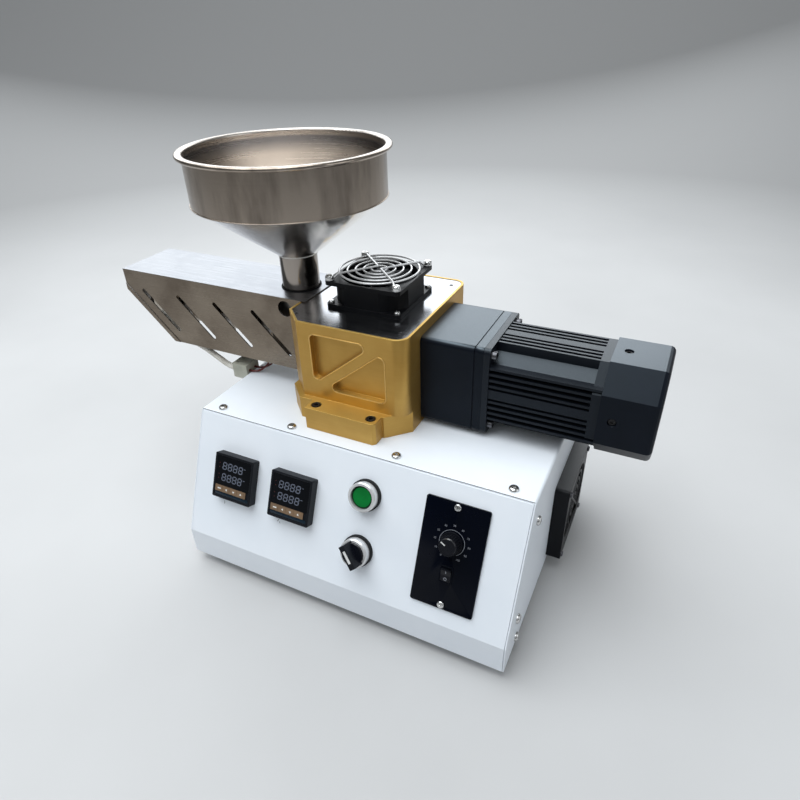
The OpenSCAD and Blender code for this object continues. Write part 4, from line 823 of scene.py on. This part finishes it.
def makeGasket(g):
    # strip carried round the neck from the ring's inner side: cosine and sine raised to a power square its section
    low, high = (np.array(c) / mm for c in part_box("hopper_seal"))
    inner = (high[0] - low[0]) / 2 - (high[2] - low[2])
    a, b = fullTurn(96)[:, None], fullTurn(14)[None]
    across, up = (1 + np.sign(w) * np.abs(w) ** g["square"] for w in (np.cos(b), np.sin(b)))
    shape = roundHopper(inner + g["wide"] / 2 * across, low[2] + g["high"] / 2 * up, a)
    piece = putPiece("neckGasket", shape, "rubber")
    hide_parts("hopper_seal")


makeGasket(gasket)
print("gasket laid")

# rippled weld beads of the hopper, radius and height in mm, and how they wobble
welds = [dict(name="neckWeld", reach=20.0, height=312.4, bead=0.95, ripples=58),
         dict(name="bandWeld", reach=95.9, height=369.0, bead=0.5, ripples=230)]
wobble = dict(ripple=0.16, swell=0.08, swells=7, lift=0.1, lifts=5)


def makeWeld(w):
    # ring of round section whose size and height wobble with the angle
    a, b = fullTurn(720)[:, None], fullTurn(12)[None]
    ripple = wobble["ripple"] * np.sin(w["ripples"] * a) + wobble["swell"] * np.sin(wobble["swells"] * a + 1.0)
    size = w["bead"] * (1 + ripple)
    z = w["height"] + size * np.sin(b) + wobble["lift"] * np.sin(wobble["lifts"] * a)
    shape = roundHopper(w["reach"] + size * np.cos(b), z, a)
    putPiece(w["name"], shape, "hopper_steel")


for weld in welds:
    makeWeld(weld)
print("welds laid")

# broken edge round each triangular pocket of the drive block, in mm; its bright gold is a painted highlight
pockets = dict(block=-24.3, offset=7.2, height=236.0, half=77.5, leg=47.5, rise=38.0, round=5.5, cx=34.3, cz=24.0,
               bead=0.65)


def makePocketEdges(k):
    # outline of a triangle with round corners: an arc about each corner, joined by straight runs
    slope = math.degrees(math.atan2(-k["leg"], k["rise"]))
    arcs = [((k["leg"], 0.0), 90.0, slope), ((0.0, -k["rise"]), slope, -180.0), ((0.0, 0.0), 180.0, 90.0)]
    outline = []
    for centre, start, end in arcs:
        a = np.radians(np.linspace(start, end, 24))
        outline.append(centre + k["round"] * np.stack([np.cos(a), np.sin(a)], -1))
    line = np.concatenate(outline) + (-k["cx"], k["cz"])
    shapes = []
    for face in (-1, 1):
        for turn in (-1, 1):
            x = k["block"] + k["offset"] - face * turn * line[:, 0]
            y = np.full(len(line), lay["axisY"] + face * k["half"])
            loop = np.stack([x, y, k["height"] + turn * line[:, 1]], -1)
            shapes.append(tubeAlong(loop, k["bead"], 10, loop=True))
    putPiece("pocketEdges", joined(*shapes), "goldEdgeHighlight")


makePocketEdges(pockets)
print("pocket edges laid")

# two sensor wires from the terminal block over the deck and up to the barrel, routes in mm
wires = dict(diameter=2.2, ref=(0.5, 0.8, -0.3),
             front=[(-182.0, -2.1, 172.6), (-176.0, -2.1, 172.6), (-168.0, 0.6, 174.0), (-161.0, 6.0, 179.6),
                    (-156.6, 13.0, 190.0), (-154.4, 20.0, 202.0), (-153.4, 23.4, 214.6)],
             rear=[(-182.0, 7.9, 172.6), (-175.0, 8.2, 172.6), (-165.4, 11.6, 174.4), (-157.4, 17.6, 181.0),
                   (-152.0, 24.0, 191.0), (-150.0, 28.0, 202.0), (-149.6, 29.4, 214.2)])


def makeWires(w):
    # round section along a smooth route
    for name in ("front", "rear"):
        path = smoothRoute(w[name], 90)
        shape = tubeAlong(path, w["diameter"] / 2, 16, w["ref"])
        piece = putPiece(name + "Wire", shape, "wireRed", angle=60)


makeWires(wires)

# seam between deck and panel; nicks in the paint under the controllers: place, width, length in mm and turn
seam = dict(edge=(1.0, 359.0), down=(0.25, 0.85), lift=0.05)
nicks = [(42.0, 94.6, 0.5, 3.6, 8.0), (111.0, 93.6, 0.5, 3.8, -35.0), (113.0, 95.4, 0.45, 2.4, 40.0)]


def makeMarks():
    # thin strip along the panel's top edge, and slivers pointed at both ends
    (left, right), (near, far) = seam["edge"], seam["down"]
    line = flatStrip((left, -far), (right, -near), seam["lift"])
    putPiece("panelSeam", copies(line, onPanel(0, 0), panelSide), "seamDark", closed=False)
    slivers = []
    for u, v, wide, tall, turn in nicks:
        bar = moved(segmentBar(tall, wide), (0, 0, seam["lift"]))
        slivers.append(copies(bar, onPanel(u, v), panelSide, 90 + turn))
    putPiece("paintNicks", joined(*slivers), "seamDark", closed=False)


makeMarks()
print("seam and nicks drawn")

# rotor behind the side grille: middle and radii in mm, pitch in degrees at root and tip
sideRotor = dict(y=51.3, z=67.0, x=(181.0, 189.5), inner=14.0, outer=40.0, blades=7, chord=21.0, thick=1.5,
                 root=0.75, pitch=(48.0, 30.0), bow=1.6, flat=0.42)


def makeSideRotor(r):
    # blade: bowed lens section across the chord, carried outwards while it widens and its pitch falls
    t, a = np.linspace(0, 1, 14)[:, None], fullTurn(26)[None]
    reach = r["inner"] + (r["outer"] - r["inner"]) * t
    pitch = np.radians(r["pitch"][0] + (r["pitch"][1] - r["pitch"][0]) * t)
    along = r["chord"] / 2 * (r["root"] + (1 - r["root"]) * t) * np.cos(a)
    across = r["thick"] / 2 * np.sin(a) + r["bow"] * (1 - np.cos(a) ** 2)
    sweep = (along * np.cos(pitch) - across * np.sin(pitch)) / reach
    height = (along * np.sin(pitch) + across * np.cos(pitch)) * r["flat"]
    blade = np.stack([reach * np.cos(sweep), reach * np.sin(sweep), height], -1)
    ends = np.repeat(blade.mean(1, keepdims=True), blade.shape[1], 1)
    blade = np.concatenate([ends[:1], blade, ends[-1:]])
    shape = (blade.reshape(-1, 3), gridQuads(*blade.shape[:2], wrapCols=True))
    spots = np.tile((sum(r["x"]) / 2, r["y"], r["z"]), (r["blades"], 1))
    turns = np.arange(r["blades"]) * 360 / r["blades"]
    putPiece("sideFanBlades", copies(shape, spots, rightSide, turns), "side_box_black")


makeSideRotor(sideRotor)
print("side rotor set")

# pale floor that rises gently far away on all sides, darkening away from the middle as painted shade, reach in m
floor = dict(reach=5.4, bend=1.9, rise=0.22, rings=70, spokes=120, spread=1.4, tone=tone(192, 192, 192),
             second=tone(186, 186, 186), far=tone(150, 150, 150), fade=(0.9, 2.0))


def makeFloor(f):
    # rings of a dish: level as far as the bend, then its height grows with the square of the distance
    r = f["reach"] * np.linspace(0, 1, f["rings"])[:, None] ** f["spread"]
    a = fullTurn(f["spokes"])[None]
    z = f["rise"] * np.clip(r - f["bend"], 0, None) ** 2 + 0 * a
    verts = np.stack([r * np.cos(a), r * np.sin(a), z], -1).reshape(-1, 3)
    mesh = bpy.data.meshes.new("floor")
    mesh.from_pydata(verts.tolist(), [], gridQuads(f["rings"], f["spokes"], wrapCols=True).tolist())
    mesh.shade_smooth()
    # tone that darkens from the fade's start to its end: painted shade on the far floor
    away = dict(start=f["fade"][0], end=f["fade"][1], tone=f["far"])
    look = dict(tone=f["tone"], second=f["second"], patch=2.0, rough=0.75, vary=0.05, grain=300.0, depth=0.02,
                shine=0.15, fades=[away])
    mesh.materials.append(makeFinish("floorPale", look))
    piece = bpy.data.objects.new("floor", mesh)
    scene.collection.objects.link(piece)


makeFloor(floor)

# soft boxes: size and place in m, and radiance; an even dim room round them
lamps = [dict(name="topBox", size=(2.4, 2.0), place=(-0.45, -0.3, 2.1), aim=(0, 0, 0.2), radiance=4.15),
         dict(name="backBox", size=(3.8, 1.3), place=(-1.1, 1.95, 1.3), aim=(0, 0, 0.25), radiance=2.8),
         dict(name="frontBox", size=(2.6, 1.2), place=(0.2, -2.2, 1.9), aim=(0, 0, 0.1), radiance=0.6),
         dict(name="rightBox", size=(1.4, 1.4), place=(2.3, 0.1, 1.1), aim=(0, 0, 0.2), radiance=1.5),
         dict(name="wallBox", size=(3.6, 1.2), place=(-1.0, 2.2, 2.7), aim=(-1.9, 3.9, 0.4), radiance=2.4)]
lampTint = (0.93, 0.97, 1.0)
room = dict(strength=0.3, tint=(0.94, 0.975, 1.0, 1.0))


def makeLight():
    # power of a box = radiance times pi times its area
    for l in lamps:
        data = bpy.data.lights.new(l["name"], "AREA")
        data.shape, data.size, data.size_y = "RECTANGLE", *l["size"]
        data.color = lampTint
        data.energy = l["radiance"] * math.pi * l["size"][0] * l["size"][1]
        lamp = bpy.data.objects.new(l["name"], data)
        lamp.location = l["place"]
        lamp.rotation_euler = (Vector(l["place"]) - Vector(l["aim"])).to_track_quat("Z", "Y").to_euler()
        scene.collection.objects.link(lamp)
    world = bpy.data.worlds.new("room")
    scene.world = world
    world.use_nodes = True
    tree = world.node_tree
    soft = tree.nodes["Background"]
    soft.inputs["Color"].default_value = room["tint"]
    soft.inputs["Strength"].default_value = room["strength"]


makeLight()
print("floor and lights set")

bpy.context.view_layer.update()
